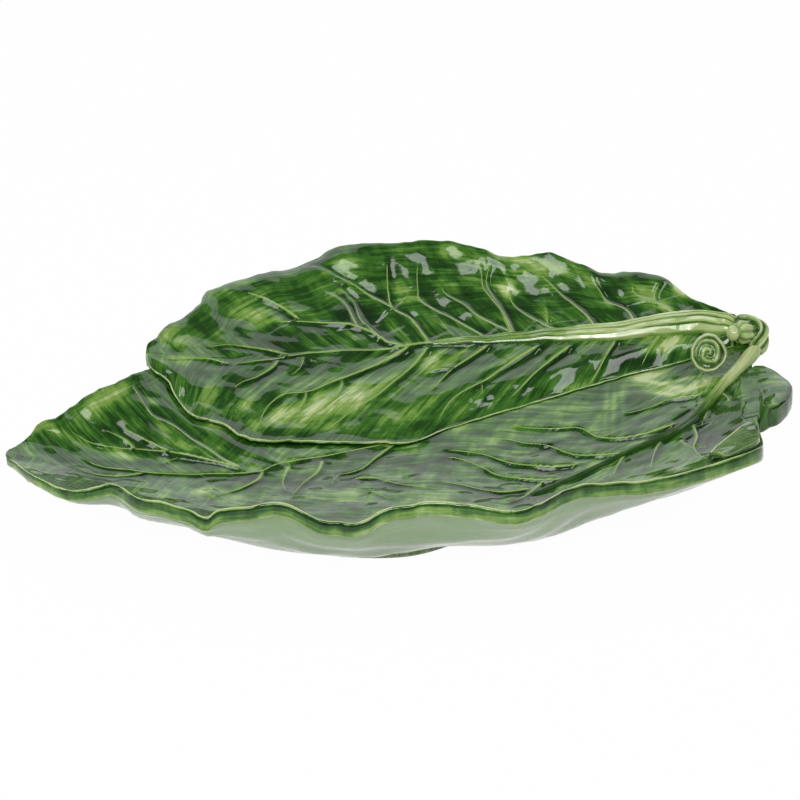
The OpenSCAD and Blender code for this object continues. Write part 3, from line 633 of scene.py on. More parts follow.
@dataclass
class Relief:
    """Raised veins with a fold and painted shade beside each, and the glaze's tone over a face."""

    veins: Sequence[Vein]
    patches: Sequence[Patch]
    lift: float
    ridge_width: float = 1.3
    step_width: float = 1.6
    fold_reach: float = 7.5
    fold_depth: float = 1.35
    ridge_share: float = 0.34
    outer_fold: float = 0.6
    start_share: float = 0.06
    end_share: float = 0.15
    shade_off: float = 1.25
    shade_width: float = 0.75
    soft_shade: float = 2.2
    light_off: float = 0.35
    light_width: float = 0.95
    close_width: float = 3.2
    lines: list[Array] = field(default_factory=list)

    def __post_init__(self) -> None:
        """Lays each vein on the dish."""
        for vein in self.veins:
            self.lines.append(smooth_line(VIEW.on_dish(vein.track, self.lift), 2.0))

    def apply(self, xy: Array) -> Grid:
        """Relief and masks at places.

        Args:
            xy: Places in mm, one row each.

        Returns:
            "rise" in mm, and the masks "crest", "pool" and "close" from 0 to 1.
        """
        rise, crest, pool, close = np.zeros((4, len(xy)))
        reach = 3.0 * self.fold_reach
        for vein, line in zip(self.veins, self.lines):
            low, high = line.min(axis=0) - reach, line.max(axis=0) + reach
            near = np.all((xy > low) & (xy < high), axis=1)
            if not near.any():
                continue
            s, along = beside(xy[near], line)
            far = np.abs(s)
            left = mix(1.0, vein.end, along) * ease((1.0 - along) / self.end_share)
            start = ease(along / self.start_share)
            ridge = bell(far, self.ridge_width) * left
            step = -np.tanh(s / self.step_width) * np.exp(-far / self.fold_reach)
            step = step * np.where(s > 0, 1.0, self.outer_fold) * left * start
            rise[near] += self.ridge_share * vein.rise * ridge + self.fold_depth * vein.fold * step
            # Painted shade, partly pooled glaze: a dark line along the low side of each vein's
            # step, and a softer dark reach beyond it.
            dark = np.maximum(bell(s - self.shade_off, self.shade_width),
                              0.6 * bell(s - self.soft_shade, self.soft_shade) * (s > 0))
            dark = dark * left * np.clip(0.6 + 0.4 * vein.fold, 0.0, 1.2)
            light = bell(s + self.light_off, self.light_width) * left * min(vein.rise, 1.0) * 0.8
            crest[near] = np.maximum(crest[near], light)
            close[near] = np.maximum(close[near], bell(far, self.close_width) * left)
            pool[near] = np.maximum(pool[near], dark)
        return {"rise": rise, "crest": crest, "pool": np.clip(pool - 0.6 * crest, 0.0, 1.0),
                "close": close}

    def tone(self, points: Array) -> Array:
        """Tone that the patches lay on.

        Args:
            points: Points in mm, one row each.

        Returns:
            The tone that each point gains.
        """
        seen = VIEW.pixels(points)
        tone = np.zeros(len(points))
        for patch in self.patches:
            a = math.radians(patch.turn)
            off = seen - (patch.u, patch.v)
            along = (off[:, 0] * math.cos(a) + off[:, 1] * math.sin(a)) / patch.along
            across = (off[:, 1] * math.cos(a) - off[:, 0] * math.sin(a)) / patch.across
            tone += patch.tone * np.exp(-(along ** 2 + across ** 2) ** 1.3)
        return tone


# --- Meshes ---


def noted(mesh: bpy.types.Mesh, name: str, values: Array) -> None:
    """Writes one number or one vector for each point of a mesh.

    Args:
        mesh: The mesh.
        name: Name of its attribute.
        values: The numbers, or three columns of them.
    """
    kind, entry = ("FLOAT", "value") if values.ndim == 1 else ("FLOAT_VECTOR", "vector")
    held = mesh.attributes.get(name) or mesh.attributes.new(name, kind, "POINT")
    held.data.foreach_set(entry, values.astype(np.float32).ravel())


def placed(name: str, data: bpy.types.ID) -> bpy.types.Object:
    """A new object of the scene."""
    made = bpy.data.objects.new(name, data)
    bpy.context.scene.collection.objects.link(made)
    return made


@dataclass
class ClayMesh:
    """Points in mm, faces and masks of one closed piece; "flow" holds two lengths in mm, across
    and along the brush marks."""

    points: Array
    faces: Faces
    masks: Grid = field(default_factory=dict)

    def to_object(self, name: str) -> bpy.types.Object:
        """A smooth shaded Blender object at the origin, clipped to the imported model's box.

        Args:
            name: Name of the piece.

        Returns:
            The new object, linked to the scene.
        """
        low, high = (np.array(c) / MM for c in CAD_BOX)
        mesh = bpy.data.meshes.new(name)
        mesh.from_pydata((np.clip(self.points, low, high) * MM).tolist(), [], self.faces)
        none = np.zeros(len(self.points))
        for mask in MASKS:
            noted(mesh, mask, self.masks.get(mask, none))
        flow = self.masks.get("flow", self.points[:, :2])
        noted(mesh, "flow", np.column_stack([flow * MM, none]))
        mesh.polygons.foreach_set("use_smooth", [True] * len(mesh.polygons))
        mesh.update()
        return placed(name, mesh)


def rim_walk(n: int, m: int) -> list[tuple[int, int]]:
    """Rim places of a grid with n rows of m points, in order round it."""
    return ([(0, j) for j in range(m)] + [(i, m - 1) for i in range(1, n)]
            + [(n - 1, j) for j in range(m - 2, -1, -1)] + [(i, 0) for i in range(n - 2, 0, -1)])


def grid_faces(n: int, m: int, start: int, up: bool) -> Faces:
    """Quads of a grid of points.

    Args:
        n: Number of rows.
        m: Points in each row.
        start: Number of the first point.
        up: Whether the faces look up.

    Returns:
        The faces.
    """
    corners = [start + i * m + j for i in range(n - 1) for j in range(m - 1)]
    quads = [(a, a + m, a + m + 1, a + 1) for a in corners]
    return quads if up else [quad[::-1] for quad in quads]


def ring_faces(loops: Sequence[Sequence[int]]) -> Faces:
    """Quads from each closed loop of point numbers to the next."""
    w = len(loops[0])
    return [(a[k], a[(k + 1) % w], b[(k + 1) % w], b[k])
            for a, b in zip(loops, loops[1:]) for k in range(w)]


def rim_band(inner: Array, outer: Array, top: Array, low: Array,
             angles: Sequence[float]) -> list[Array]:
    """Rings of points that round a sheet's rim, from where it starts to its edge; angles are in
    degrees above level."""
    return [raised(inner + (outer - inner) * math.cos(a),
                   (top + low) / 2 + (top - low) / 2 * math.sin(a)) for a in np.radians(angles)]


class Wave(NamedTuple):
    """Soft waves of a pressed face: their height and their cells in mm, and their seed."""

    height: float
    cells: object
    seed: int

    def over(self, places: Array) -> Array:
        """Height of the waves at places in mm."""
        return self.height * soft_noise(places, self.cells, self.seed)


@dataclass(frozen=True)
class Ruffle:
    """Scallops of a free edge: how far they draw in and rise, in mm, and their wavelength."""

    inwards: float
    rise: float
    wave: float
    seed: int

    def at(self, reach: Array) -> tuple[Array, Array]:
        """How far the edge draws in and rises at lengths along it."""
        draw = 0.5 - 0.5 * np.clip(wavy(reach, self.wave, self.seed) * 1.4, -1, 1)
        lift = np.clip(wavy(reach, self.wave * 1.3, self.seed + 5), -1, 1)
        return self.inwards * draw, self.rise * lift


@dataclass
class LeafSheet:
    """One leaf as a closed sheet: a fine face, a coarser underside and a rolled rim band."""

    name: str
    paths: tuple[LeafPath, LeafPath, LeafPath]
    rows: Array
    relief: Relief
    row_count: int
    front_count: int
    back_count: int
    ruffles: tuple[Ruffle, Ruffle]
    coarse: int = 4
    rim_round: float = 1.5
    rim_rings: Shares = (68.0, 48.0, 28.0, 8.0, -12.0, -32.0, -52.0, -72.0)
    # Free rim band, lighter toward its lower rings: partly the glaze's own tone, partly painted
    # light.
    ring_glaze_and_light: Shares = (0.16, -0.10, -0.04, 0.10, 0.16, 0.24, 0.40, 0.50, 0.3)
    ring_crests: Shares = (1.0, 0.4, 0.0, 0.0, 0.0, 0.0, 0.1, 0.5, 0.3)
    # Where an edge lies on the other leaf, its lower rings are laid dark: painted shadow under it.
    lap_shaded_tones: Shares = (0.36, 0.30, 0.15, -0.05, -0.25, -0.35, -0.4, -0.4, -0.4)
    lap_crests: Shares = (1.0, 0.9, 0.5, 0.1, 0.0, 0.0, 0.0, 0.0, 0.0)
    ring_under: Shares = (0.0, 0.0, 0.0, 0.0, 0.0, 0.0, 0.0, 0.25, 0.8)
    sweep: float = 0.05
    end_rows: int = 7
    calm_veins: float = 0.65
    last_ring_in: float = 0.55
    last_ring_up: float = 0.5
    seam_in: float = 1.3
    seam_up: float = 0.2
    rim_tone: float = 0.4
    ring_pitch: float = 1.2
    edge_out: float = 0.35
    edge_sink: float = 0.15
    long_waves: Wave = Wave(0.0, 1.0, 0)
    fine_waves: tuple[Wave, ...] = ()
    edge_line: Array = field(default_factory=lambda: np.zeros((0, 4)))

    def columns(self) -> Array:
        """Columns of the grid, closer together near the edges.

        Returns:
            Shares across the leaf, from -1 at the front edge to 1 at the back edge.
        """
        halves = []
        for count in (self.front_count, self.back_count):
            even = np.linspace(-1.0, 0.0, count)
            halves.append(mix(even, np.sin(even * math.pi / 2), 0.35))
        return np.concatenate([halves[0], -halves[1][::-1][1:]])

    def row_numbers(self) -> tuple[Array, Array]:
        """Rows of the fine grid, evenly spread over both edges and the midrib.

        Returns:
            The number of each row in the leaf's table, and the mean length up to it in mm.
        """
        r = np.linspace(0.0, len(self.rows) - 1.0, 1200)
        ends = [p.at(np.interp(r, np.arange(len(self.rows)), self.rows[:, i]))
                for i, p in enumerate(self.paths)]
        steps = sum(np.linalg.norm(np.diff(e[:, :2], axis=0), axis=1) for e in ends)
        sums = np.concatenate([[0.0], np.cumsum(steps)])
        even = np.linspace(0.0, sums[-1], self.row_count)
        return np.interp(even, sums, r), even / 3

    def grid(self) -> Grid:
        """The fine grid.

        Returns:
            "outer" and "inner" places, "v" shares across and their size "k", "inside" of the rim,
            "edge" heights, "edge_place" and "free" shares of the nearer edge, "flow" lengths,
            "room" between the rows, "wave" heights of the ruffles, row numbers "r" and the rows'
            "table".
        """
        (r, reach), v = self.row_numbers(), self.columns()
        table = np.stack([np.interp(r, np.arange(len(self.rows)), self.rows[:, i])
                          for i in range(self.rows.shape[1])], axis=-1)
        mid, front, back = (p.at(table[:, i]) for i, p in enumerate(self.paths))
        ahead = (v < 0)[None, :]
        edge = np.where(ahead[..., None], front[:, None, :], back[:, None, :])
        span = edge[..., :2] - mid[:, None, :2]
        length = np.linalg.norm(span, axis=-1)
        k = np.abs(v)[None, :] * np.ones((len(r), 1))
        ruffled = [ruffle.at(table[:, i + 1] * self.paths[i + 1].sums[-1])
                   for i, ruffle in enumerate(self.ruffles)]
        draw, wave = (np.where(ahead, front_one[:, None], back_one[:, None])
                      for front_one, back_one in zip(*ruffled))

        def places(share: Array) -> Array:
            """Places at shares of each half row."""
            out = mid[:, None, :2] + span * share[..., None]
            out[..., 0] -= self.sweep * length * 4 * share * (1 - share)
            return out

        drawn = np.minimum(draw, 0.1 * length) / np.maximum(length, 1e-6) * k ** 6
        inset = np.minimum(self.rim_round, 0.15 * length) / np.maximum(length, 1e-6) * k ** 6
        outer = places(k * (1 - drawn))
        inner = places(k * (1 - drawn - inset))
        for end, step in ((0, 1), (len(r) - 1, -1)):
            d = inner[end + step * self.end_rows] - inner[end]
            size = np.linalg.norm(d, axis=-1, keepdims=True)
            d = d / np.maximum(size, 1e-6) * np.minimum(self.rim_round, 0.5 * size)
            for i in range(self.end_rows):
                inner[end + step * i] += d * (1 - i / self.end_rows) ** 2
        flow = np.stack([reach[:, None] * np.ones_like(k), (k - 1) * length], axis=-1)
        flow = flow + outer[0, 0]
        gap = np.linalg.norm(np.gradient(outer, axis=0), axis=-1)
        room = ease((gap / np.median(gap) - 0.2) / 0.5)
        flow = flow * room[..., None] + outer * (1 - room[..., None])
        return {"outer": outer, "inner": inner, "v": v, "k": k, "edge": edge[..., 2], "r": r,
                "free": np.where(ahead, table[:, 3:4], table[:, 4:5]), "edge_place": edge[..., :2],
                "inside": 1 - ease((k - 0.9) / 0.1), "flow": flow, "room": room,
                "wave": wave * k ** 9, "table": table}

    def heights(self, g: Grid) -> tuple[Array, Array, Grid]:
        """Face and underside heights and masks of the grid; each leaf gives its own."""
        raise NotImplementedError

    def crest_share(self, g: Grid) -> Array:
        """How strong the pale line on the rim is at each rim place; each leaf gives its own."""
        raise NotImplementedError

    def hanging(self, g: Grid) -> Array:
        """How far the rim hangs free, against 0 where it lies on the other leaf."""
        raise NotImplementedError

    def marks(self, g: Grid) -> Grid:
        """Rise of the veins over the grid in mm, and their masks."""
        found = self.relief.apply(g["inner"].reshape(-1, 2))
        return {name: values.reshape(g["k"].shape) for name, values in found.items()}

    def waves(self, g: Grid, marks: Grid) -> Array:
        """Waves of the pressed face, calmer close to a vein.

        Args:
            g: The grid.
            marks: Its veins' rise and masks.

        Returns:
            The heights in mm.
        """
        waves = self.long_waves.over(g["flow"]) * g["room"]
        for wave in self.fine_waves:
            waves = waves + wave.over(g["inner"])
        return waves * (1 - self.calm_veins * marks["close"])

    def masks(self, g: Grid, marks: Grid, highs: Array, turn: Array) -> Grid:
        """Masks of the face, whose brush marks turn across the leaf by a share."""
        tone = self.relief.tone(raised(g["inner"], highs)).reshape(highs.shape)
        return {"crest": marks["crest"] * g["inside"], "pool": marks["pool"] * g["inside"],
                "tone": tone, "turn": turn}

    def underside(self, loop: Sequence[int], base: int, nc: int, mc: int) -> Faces:
        """Faces of the coarser underside and of the seam between it and the rim's last ring.

        Args:
            loop: Point numbers of the rim's last ring.
            base: Number of the underside's first point.
            nc: Rows of the underside.
            mc: Points in each of its rows.

        Returns:
            The faces.
        """
        c, w, half = self.coarse, len(loop), self.coarse // 2
        ids = [base + i * mc + j for i, j in rim_walk(nc, mc)]
        faces: Faces = []
        for q, a in enumerate(ids):
            b = ids[(q + 1) % len(ids)]
            fine = [loop[(q * c + s) % w] for s in range(c + 1)]
            faces += [(fine[s], fine[s + 1], a) for s in range(half)]
            faces.append((fine[half], b, a))
            faces += [(fine[s], fine[s + 1], b) for s in range(half, c)]
        return faces + grid_faces(nc, mc, base, False)

    def build(self) -> ClayMesh:
        """Builds the closed sheet, and keeps the line of its front edge.

        Returns:
            The sheet with its masks.
        """
        g = self.grid()
        highs, lows, masks = self.heights(g)
        n, m = highs.shape
        c = self.coarse
        walk = rim_walk(n, m)
        wi, wj = np.array(walk).T
        inner, outer = g["inner"][wi, wj], g["outer"][wi, wj]
        band = rim_band(inner, outer, highs[wi, wj], lows[wi, wj], self.rim_rings)
        band.append(raised(inner - (outer - inner) * self.last_ring_in,
                           lows[wi, wj] + self.last_ring_up))
        places, lows_coarse = g["inner"][::c, ::c].copy(), lows[::c, ::c].copy()
        nc, mc = lows_coarse.shape
        ci, cj = np.array(rim_walk(nc, mc)).T
        places[ci, cj] -= (outer - inner)[::c] * self.seam_in
        lows_coarse[ci, cj] += self.seam_up
        points = np.concatenate([raised(g["inner"], highs), *band, raised(places, lows_coarse)])
        w, first, rings = len(walk), n * m, len(band)
        loops = [[i * m + j for i, j in walk]]
        loops += [range(first + s * w, first + (s + 1) * w) for s in range(rings)]
        faces = (grid_faces(n, m, 0, True) + ring_faces(loops)
                 + self.underside(loops[-1], first + rings * w, nc, mc))
        nu, shown, free = nc * mc, self.crest_share(g)[wi, wj], self.hanging(g)[wi, wj]
        # Rim rings: painted shadow under an edge that lies on the other leaf; on a free band,
        # partly painted light.
        tone = [masks["tone"][wi, wj] * self.rim_tone + mix(lap, s, free)
                for lap, s in zip(self.lap_shaded_tones, self.ring_glaze_and_light)]
        crest = [shown * mix(lap, s, free) for lap, s in zip(self.lap_crests, self.ring_crests)]
        out = {"crest": np.concatenate([masks["crest"].ravel(), *crest, np.zeros(nu)]),
               "tone": np.concatenate([masks["tone"].ravel(), *tone, np.zeros(nu)]),
               "pool": np.concatenate([masks["pool"].ravel(), np.zeros(rings * w + nu)]),
               "turn": np.concatenate([masks["turn"].ravel(), np.ones(rings * w + nu)]),
               "under": np.concatenate([np.zeros(first), *[free * s for s in self.ring_under],
                                        np.ones(nu)])}
        flows = [np.column_stack([running(outer), np.full(w, self.ring_pitch * (s + 1))])
                 for s in range(rings - 1)]
        out["flow"] = np.concatenate([g["flow"].reshape(-1, 2), *flows, inner,
                                      places.reshape(-1, 2)])
        line = raised(mix(g["inner"][:, 0], g["outer"][:, 0], self.edge_out),
                      highs[:, 0] - self.edge_sink)
        self.edge_line = np.column_stack([line, self.crest_share(g)[:, 0]])
        return ClayMesh(points, faces, out)


@dataclass
class LowerLeaf(LeafSheet):
    """The long front leaf, which forms the dish and carries everything else."""

    tuck_wall: float = 3.0
    rim_edge: float = 8.0
    tip_share: float = 0.5
    tip_rows: float = 4.0
    lobe_span: Pair = (0.90, 0.998)
    lip_from: float = 0.765
    long_waves: Wave = Wave(0.60, (15.0, 34.0), 3)
    fine_waves: tuple[Wave, ...] = (Wave(0.34, (16.0, 8.0), 4), Wave(0.09, 5.0, 8))
    lap_calm: float = 0.85
    lap_reach: float = 5.0
    end_calm: float = 0.6
    end_from: float = 142.0
    end_over: float = 14.0
    turn_from: float = -130.0
    turn_over: float = 70.0
    hollows: tuple[Wave, ...] = (Wave(2.0, (44.0, 10.0), 9), Wave(0.8, (24.0, 6.0), 10))
    lap_line: Array = field(default_factory=lambda: np.zeros((2, 2)))

    def hanging(self, g: Grid) -> Array:
        """The front rim hangs free, the back one where the upper leaf doesn't cover it."""
        return np.where(g["v"][None, :] < 0, 1.0, g["free"])

    def crest_share(self, g: Grid) -> Array:
        """Strength of the rim's pale line, none along the lobe and under the upper leaf.

        Args:
            g: The grid.

        Returns:
            A share for each of the grid's places.
        """
        at = g["table"][:, 1:2]
        lobe = mix(0.85 * ease((at - self.lip_from) / 0.02), 1.0,
                   ease((at - self.lobe_span[0] + 0.02) / 0.02))
        broken = 0.35 + 0.65 * ease(wavy(g["flow"][..., 0], 11.0, 51) + 0.55)
        return np.where(g["v"][None, :] < 0, 1 - lobe, g["free"]) * broken

    def heights(self, g: Grid) -> tuple[Array, Array, Grid]:
        """Face and underside of the lower leaf.

        Args:
            g: The grid.

        Returns:
            Heights of both in mm, and the masks.
        """
        xy, k, inside, marks = g["inner"], g["k"], g["inside"], self.marks(g)
        lift = g["free"] * (g["edge"] - DISH.height(g["edge_place"])) * k ** 8
        smooth = DISH.height(xy) + lift + g["wave"] * g["free"]
        lap = beside(xy.reshape(-1, 2), self.lap_line)[0]
        calm = 1 - self.lap_calm * bell(lap, self.lap_reach).reshape(k.shape)
        end = ease((xy[..., 0] - self.end_from) / self.end_over)
        waves = self.waves(g, marks) * (1 - self.end_calm * end)
        highs = smooth + (marks["rise"] * mix(0.3, 1.0, inside) + waves * inside) * calm
        tip = mix(self.tip_share, 1.0, np.clip(g["r"][:, None] / self.tip_rows, 0, 1))
        edge = np.where(g["v"][None, :] > 0, mix(self.tuck_wall, self.rim_edge * tip, g["free"]),
                        self.rim_edge * tip)
        lows = smooth - mix(DISH.lower_wall * tip, edge, ease((k - 0.75) / 0.25))
        hollow = sum(wave.over(xy) for wave in self.hollows)
        lows = np.maximum(lows + hollow * inside * ease(k / 0.4), DISH.foot_height - 0.2)
        turn = np.maximum(ease((k - 0.8) / 0.15),
                          ease((xy[..., 0] - self.turn_from) / self.turn_over)) * 0.9
        return highs, lows, self.masks(g, marks, highs, turn)


@dataclass
class UpperLeaf(LeafSheet):
    """The leaf laid over the back half, with a free front edge."""

    rim_edge: float = 8.0
    lap_step: float = 1.7
    merged_step: float = 0.7
    merge_from: float = 0.42
    merge_to: float = 0.50
    sink: float = 0.25
    sink_step: float = 0.2
    long_waves: Wave = Wave(0.80, (16.0, 34.0), 5)
    fine_waves: tuple[Wave, ...] = (Wave(0.36, (13.0, 9.0), 6), Wave(0.07, 5.0, 7))

    def hanging(self, g: Grid) -> Array:
        """Only the back rim hangs free."""
        return ease(g["v"][None, :] / 0.1 + np.zeros_like(g["k"]))

    def merged(self, g: Grid) -> Array:
        """How far the front edge has run into the lower leaf, row by row."""
        return ease((g["table"][:, 1:2] - self.merge_from) / (self.merge_to - self.merge_from))

    def crest_share(self, g: Grid) -> Array:
        """Strength of the pale line on the free edges.

        Args:
            g: The grid.

        Returns:
            A share for each of the grid's places.
        """
        broken = 0.3 + 0.7 * ease(wavy(g["flow"][..., 0], 9.0, 61) + 0.6)
        broken = broken * (1 - ease((g["table"][:, :1] - 0.90) / 0.05))
        return np.where(g["v"][None, :] < 0, mix(1.0, 0.75, self.merged(g)), 0.3) * broken

    def heights(self, g: Grid) -> tuple[Array, Array, Grid]:
        """Face and underside of the upper leaf.

        Args:
            g: The grid.

        Returns:
            Heights of both in mm, and the masks.
        """
        xy, k, inside, marks = g["inner"], g["k"], g["inside"], self.marks(g)
        v = g["v"][None, :] * np.ones_like(k)
        target = g["edge"] - self.rim_edge - DISH.fit_gap
        lift = g["free"] * (target - DISH.height(g["edge_place"])) * k ** 8
        wave = g["wave"] * np.where(v < 0, 1 - self.merged(g), 1.0)
        lows = DISH.height(xy) + DISH.fit_gap + lift + np.where(v < 0, np.maximum(wave, 0), wave)
        edge = np.where(v < 0, mix(self.lap_step, self.merged_step, self.merged(g)), self.rim_edge)
        sunk = np.where(v < 0, self.merged(g), 0.0) * ease((k - 0.85) / 0.15)
        lows = lows - (DISH.fit_gap + self.sink) * sunk
        highs = lows + mix(DISH.upper_wall, edge, ease((k - 0.5) / 0.5)) + self.sink_step * sunk
        highs = highs + marks["rise"] * mix(0.3, 1.0, inside)
        highs = highs + self.waves(g, marks) * mix(np.where(v > 0, 0.55, 0.15), 1.0, inside)
        turn = np.where(v > 0, 0.9 * ease((v - 0.15) / 0.3), 0.2 * ease(k / 0.6))
        return highs, lows, self.masks(g, marks, highs, turn)


def ringed_tube(rings: Array) -> Faces:
    """Faces of a closed tube.

    Args:
        rings: Its rings of points.

    Returns:
        The quads between the rings and a face over each end.
    """
    n, m = rings.shape[:2]
    loops = [range(i * m, (i + 1) * m) for i in range(n)]
    return [*ring_faces(loops), tuple(loops[0])[::-1], tuple(loops[-1])]


def outward(points: Array, faces: Faces) -> Faces:
    """Turns the faces of a closed mesh over where they look inwards.

    Args:
        points: Points of the mesh.
        faces: Its faces.

    Returns:
        The faces, looking outwards.
    """
    total = 0.0
    for face in faces:
        a = points[face[0]]
        for i in range(1, len(face) - 1):
            total += float(a @ np.cross(points[face[i]], points[face[i + 1]]))
    return faces if total > 0 else [face[::-1] for face in faces]


def fluted(turn: Array, flutes: Sequence[Triple]) -> Array:
    """Flutes from -1 to 1 at angles; each has a share, a count and a shift."""
    return sum(share * np.cos(count * turn + shift) for share, count, shift in flutes)


def tube(rings: Array, masks: Grid) -> ClayMesh:
    """A closed tube through rings of points."""
    points = rings.reshape(-1, 3)
    return ClayMesh(points, outward(points, ringed_tube(rings)), masks)


def drop(ground: BVHTree, x: float, y: float) -> float | None:
    """Height in mm of a face under a place, or None beside it."""
    hit = ground.ray_cast(Vector((x, y, 200.0)), Vector((0.0, 0.0, -1.0)))[0]
    return hit.z if hit else None


@dataclass
class Stalk:
    """A fluted half round stalk that lies on a leaf; half widths and rises in mm along it."""

    path: LeafPath
    shares: Array
    halves: Array
    rises: Array
    tones: Array
    lift: float
    flute: float = 0.5
    flutes: tuple[Triple, ...] = ((0.6, 13.0, 0.0), (0.4, 23.0, 2.0))
    foot_share: float = 0.26
    flank_slope: float = 2.05
    end_share: float = 0.06
    sides: int = 64
    calm_reach: int = 5
    ground_reach: float = 1.5
    bed: float = 0.8

    def base(self, places: Array, ground: BVHTree) -> Array:
        """Heights of the stalk's foot, evened out along its length.

        Args:
            places: Places of the stalk's grid in mm.
            ground: The leaf's face under it.

        Returns:
            The height under each place in mm.
        """
        base = np.empty(places.shape[:2])
        for i in range(places.shape[0]):
            for j in range(places.shape[1]):
                flat = float(DISH.height(places[i, j])) + self.lift
                seen = drop(ground, *places[i, j])
                near = (flat - self.ground_reach, flat + self.ground_reach)
                base[i, j] = flat if seen is None else np.clip(seen, *near)
        return np.stack([calmed(column, self.calm_reach) for column in base.T], axis=1)

    def build(self, ground: BVHTree) -> ClayMesh:
        """The stalk's closed mesh.

        Args:
            ground: The leaf's face under it, in mm.

        Returns:
            The mesh.
        """
        n = len(self.shares)
        t = np.linspace(0.0, 1.0, n)
        middle = self.path.at(self.shares)[:, :2]
        d = self.path.heading(self.shares)
        across = np.column_stack([-d[:, 1], d[:, 0]])
        length = running(middle)
        angle = np.linspace(0.0, math.pi, self.sides)
        v = -np.cos(angle)
        edge = self.halves * (1 + 0.05 * wavy(length, 14.0, 71))
        edge = edge * mix(0.8, 1.0, ease((1.0 - t) / self.end_share))
        edge = edge * mix(0.7, 1.0, ease(t / 0.05))
        places = middle[:, None, :] + v[None, :, None] * edge[:, None, None] * across[:, None, :]
        base = self.base(places, ground)
        bent = v[None, :] + 0.10 * wavy(length, 30.0, 73)[:, None]
        flutes = fluted(bent, self.flutes)
        fade = ease(t / 0.25)[:, None] * (self.rises / self.rises.max())[:, None]
        round_off = (ease((1.0 - t) / self.end_share) * ease((t + 0.01) / 0.04))[:, None]
        slope = self.flank_slope * mix(1.0, 0.9, ease((t - 0.35) / 0.4))[:, None]
        flank = self.foot_share + slope * (1 - np.abs(v))[None, :]
        arch = np.minimum(np.sin(angle)[None, :] ** 0.8, flank)
        crown = self.rises[:, None] * arch * mix(0.5, 1.0, round_off)
        plain = 1 - 0.85 * ease((np.abs(v) - 0.58) / 0.2)
        top = base + crown + self.flute * flutes * fade * (np.sin(angle) * plain)[None, :]
        low = base - self.bed
        rings = np.concatenate([
            np.concatenate([places, top[..., None]], axis=-1),
            np.concatenate([places[:, ::-1], low[:, ::-1, None]], axis=-1)], axis=1)
        upper = np.sin(angle)[None, :]
        crest = np.clip(flutes, 0, 1) * upper * fade * 0.85
        # Painted shade in the grooves, partly pooled glaze, and where the flanks meet the leaf.
        pool = np.clip(-flutes, 0, 1) * fade * mix(1.1, 2.0, t)[:, None] + bell(upper, 0.3) * 1.1
        tone = self.tones[:, None] + np.zeros_like(top)
        zero = np.zeros_like(top)
        flow = np.stack([angle[None, :] * self.halves[:, None], length[:, None] + zero], axis=-1)
        masks = {"crest": np.concatenate([crest, zero], axis=1).ravel(),
                 "pool": np.concatenate([pool, zero], axis=1).ravel(),
                 "tone": np.concatenate([tone, tone], axis=1).ravel(),
                 "flow": np.concatenate([flow, flow[:, ::-1]], axis=1).reshape(-1, 2)}
        return tube(rings, masks)


@dataclass
class Knuckle:
    """The deeply fluted bend that joins both stalks."""

    start: Array
    start_way: Array
    end: Array
    end_way: Array
    radius: float = 5.5
    end_radius: float = 4.75
    reach: float = 9.35
    hump: float = 4.0
    flute: float = 1.9
    flutes: tuple[Triple, ...] = ((0.7, 5.0, 0.0), (0.3, 9.0, 1.0))
    steps: int = 90
    sides: int = 120

    def at(self, k: Array) -> Array:
        """Places on the bend's middle line.

        Args:
            k: Shares along it.

        Returns:
            One point for each share, in mm.
        """
        k = np.asarray(k)[..., None]
        over = np.array([0.0, 0.0, self.hump])
        a, b = self.start, self.start + self.reach * self.start_way + over
        c, d = self.end - self.reach * self.end_way + over, self.end
        return a * (1 - k) ** 3 + 3 * b * k * (1 - k) ** 2 + 3 * c * k * k * (1 - k) + d * k ** 3

    def build(self) -> ClayMesh:
        """The bend's closed mesh.

        Returns:
            The mesh.
        """
        k = np.linspace(-0.05, 1.05, self.steps)
        middle = self.at(k)
        way = unit(self.at(k + 0.01) - self.at(k - 0.01))
        side = unit(np.cross(way, [0.0, 0.0, 1.0]))
        up = np.cross(side, way)
        g = np.linspace(0.0, 2 * math.pi, self.sides, endpoint=False)
        pinch = 1 - 0.10 * bell(k - 0.66, 0.13) - 0.12 * ease((np.abs(k - 0.5) - 0.45) / 0.1)
        radius = mix(self.radius, self.end_radius, np.clip(k, 0, 1)) * pinch
        turn = g[None, :] + 0.8 * (k[:, None] - 0.5)
        flutes = fluted(turn, self.flutes)
        r = radius[:, None] - self.flute * (0.5 - 0.5 * flutes)
        rings = (middle[:, None, :] + r[..., None] * (np.cos(g)[None, :, None] * side[:, None, :]
                                                      + np.sin(g)[None, :, None] * up[:, None, :]))
        tone = mix(0.14, 0.30, k)[:, None] + np.zeros_like(r)
        flow = np.stack([g[None, :] * self.radius + np.zeros_like(r),
                         30.0 * k[:, None] + np.zeros_like(r)], axis=-1)
        # Deep flutes laid dark: pooled glaze and painted shade.
        masks = {"crest": np.clip(flutes, 0, 1).ravel() * 0.9, "tone": tone.ravel(),
                 "pool": np.clip(-1.4 * flutes, 0, 1).ravel() * 1.6, "flow": flow.reshape(-1, 2)}
        return tube(rings, masks)


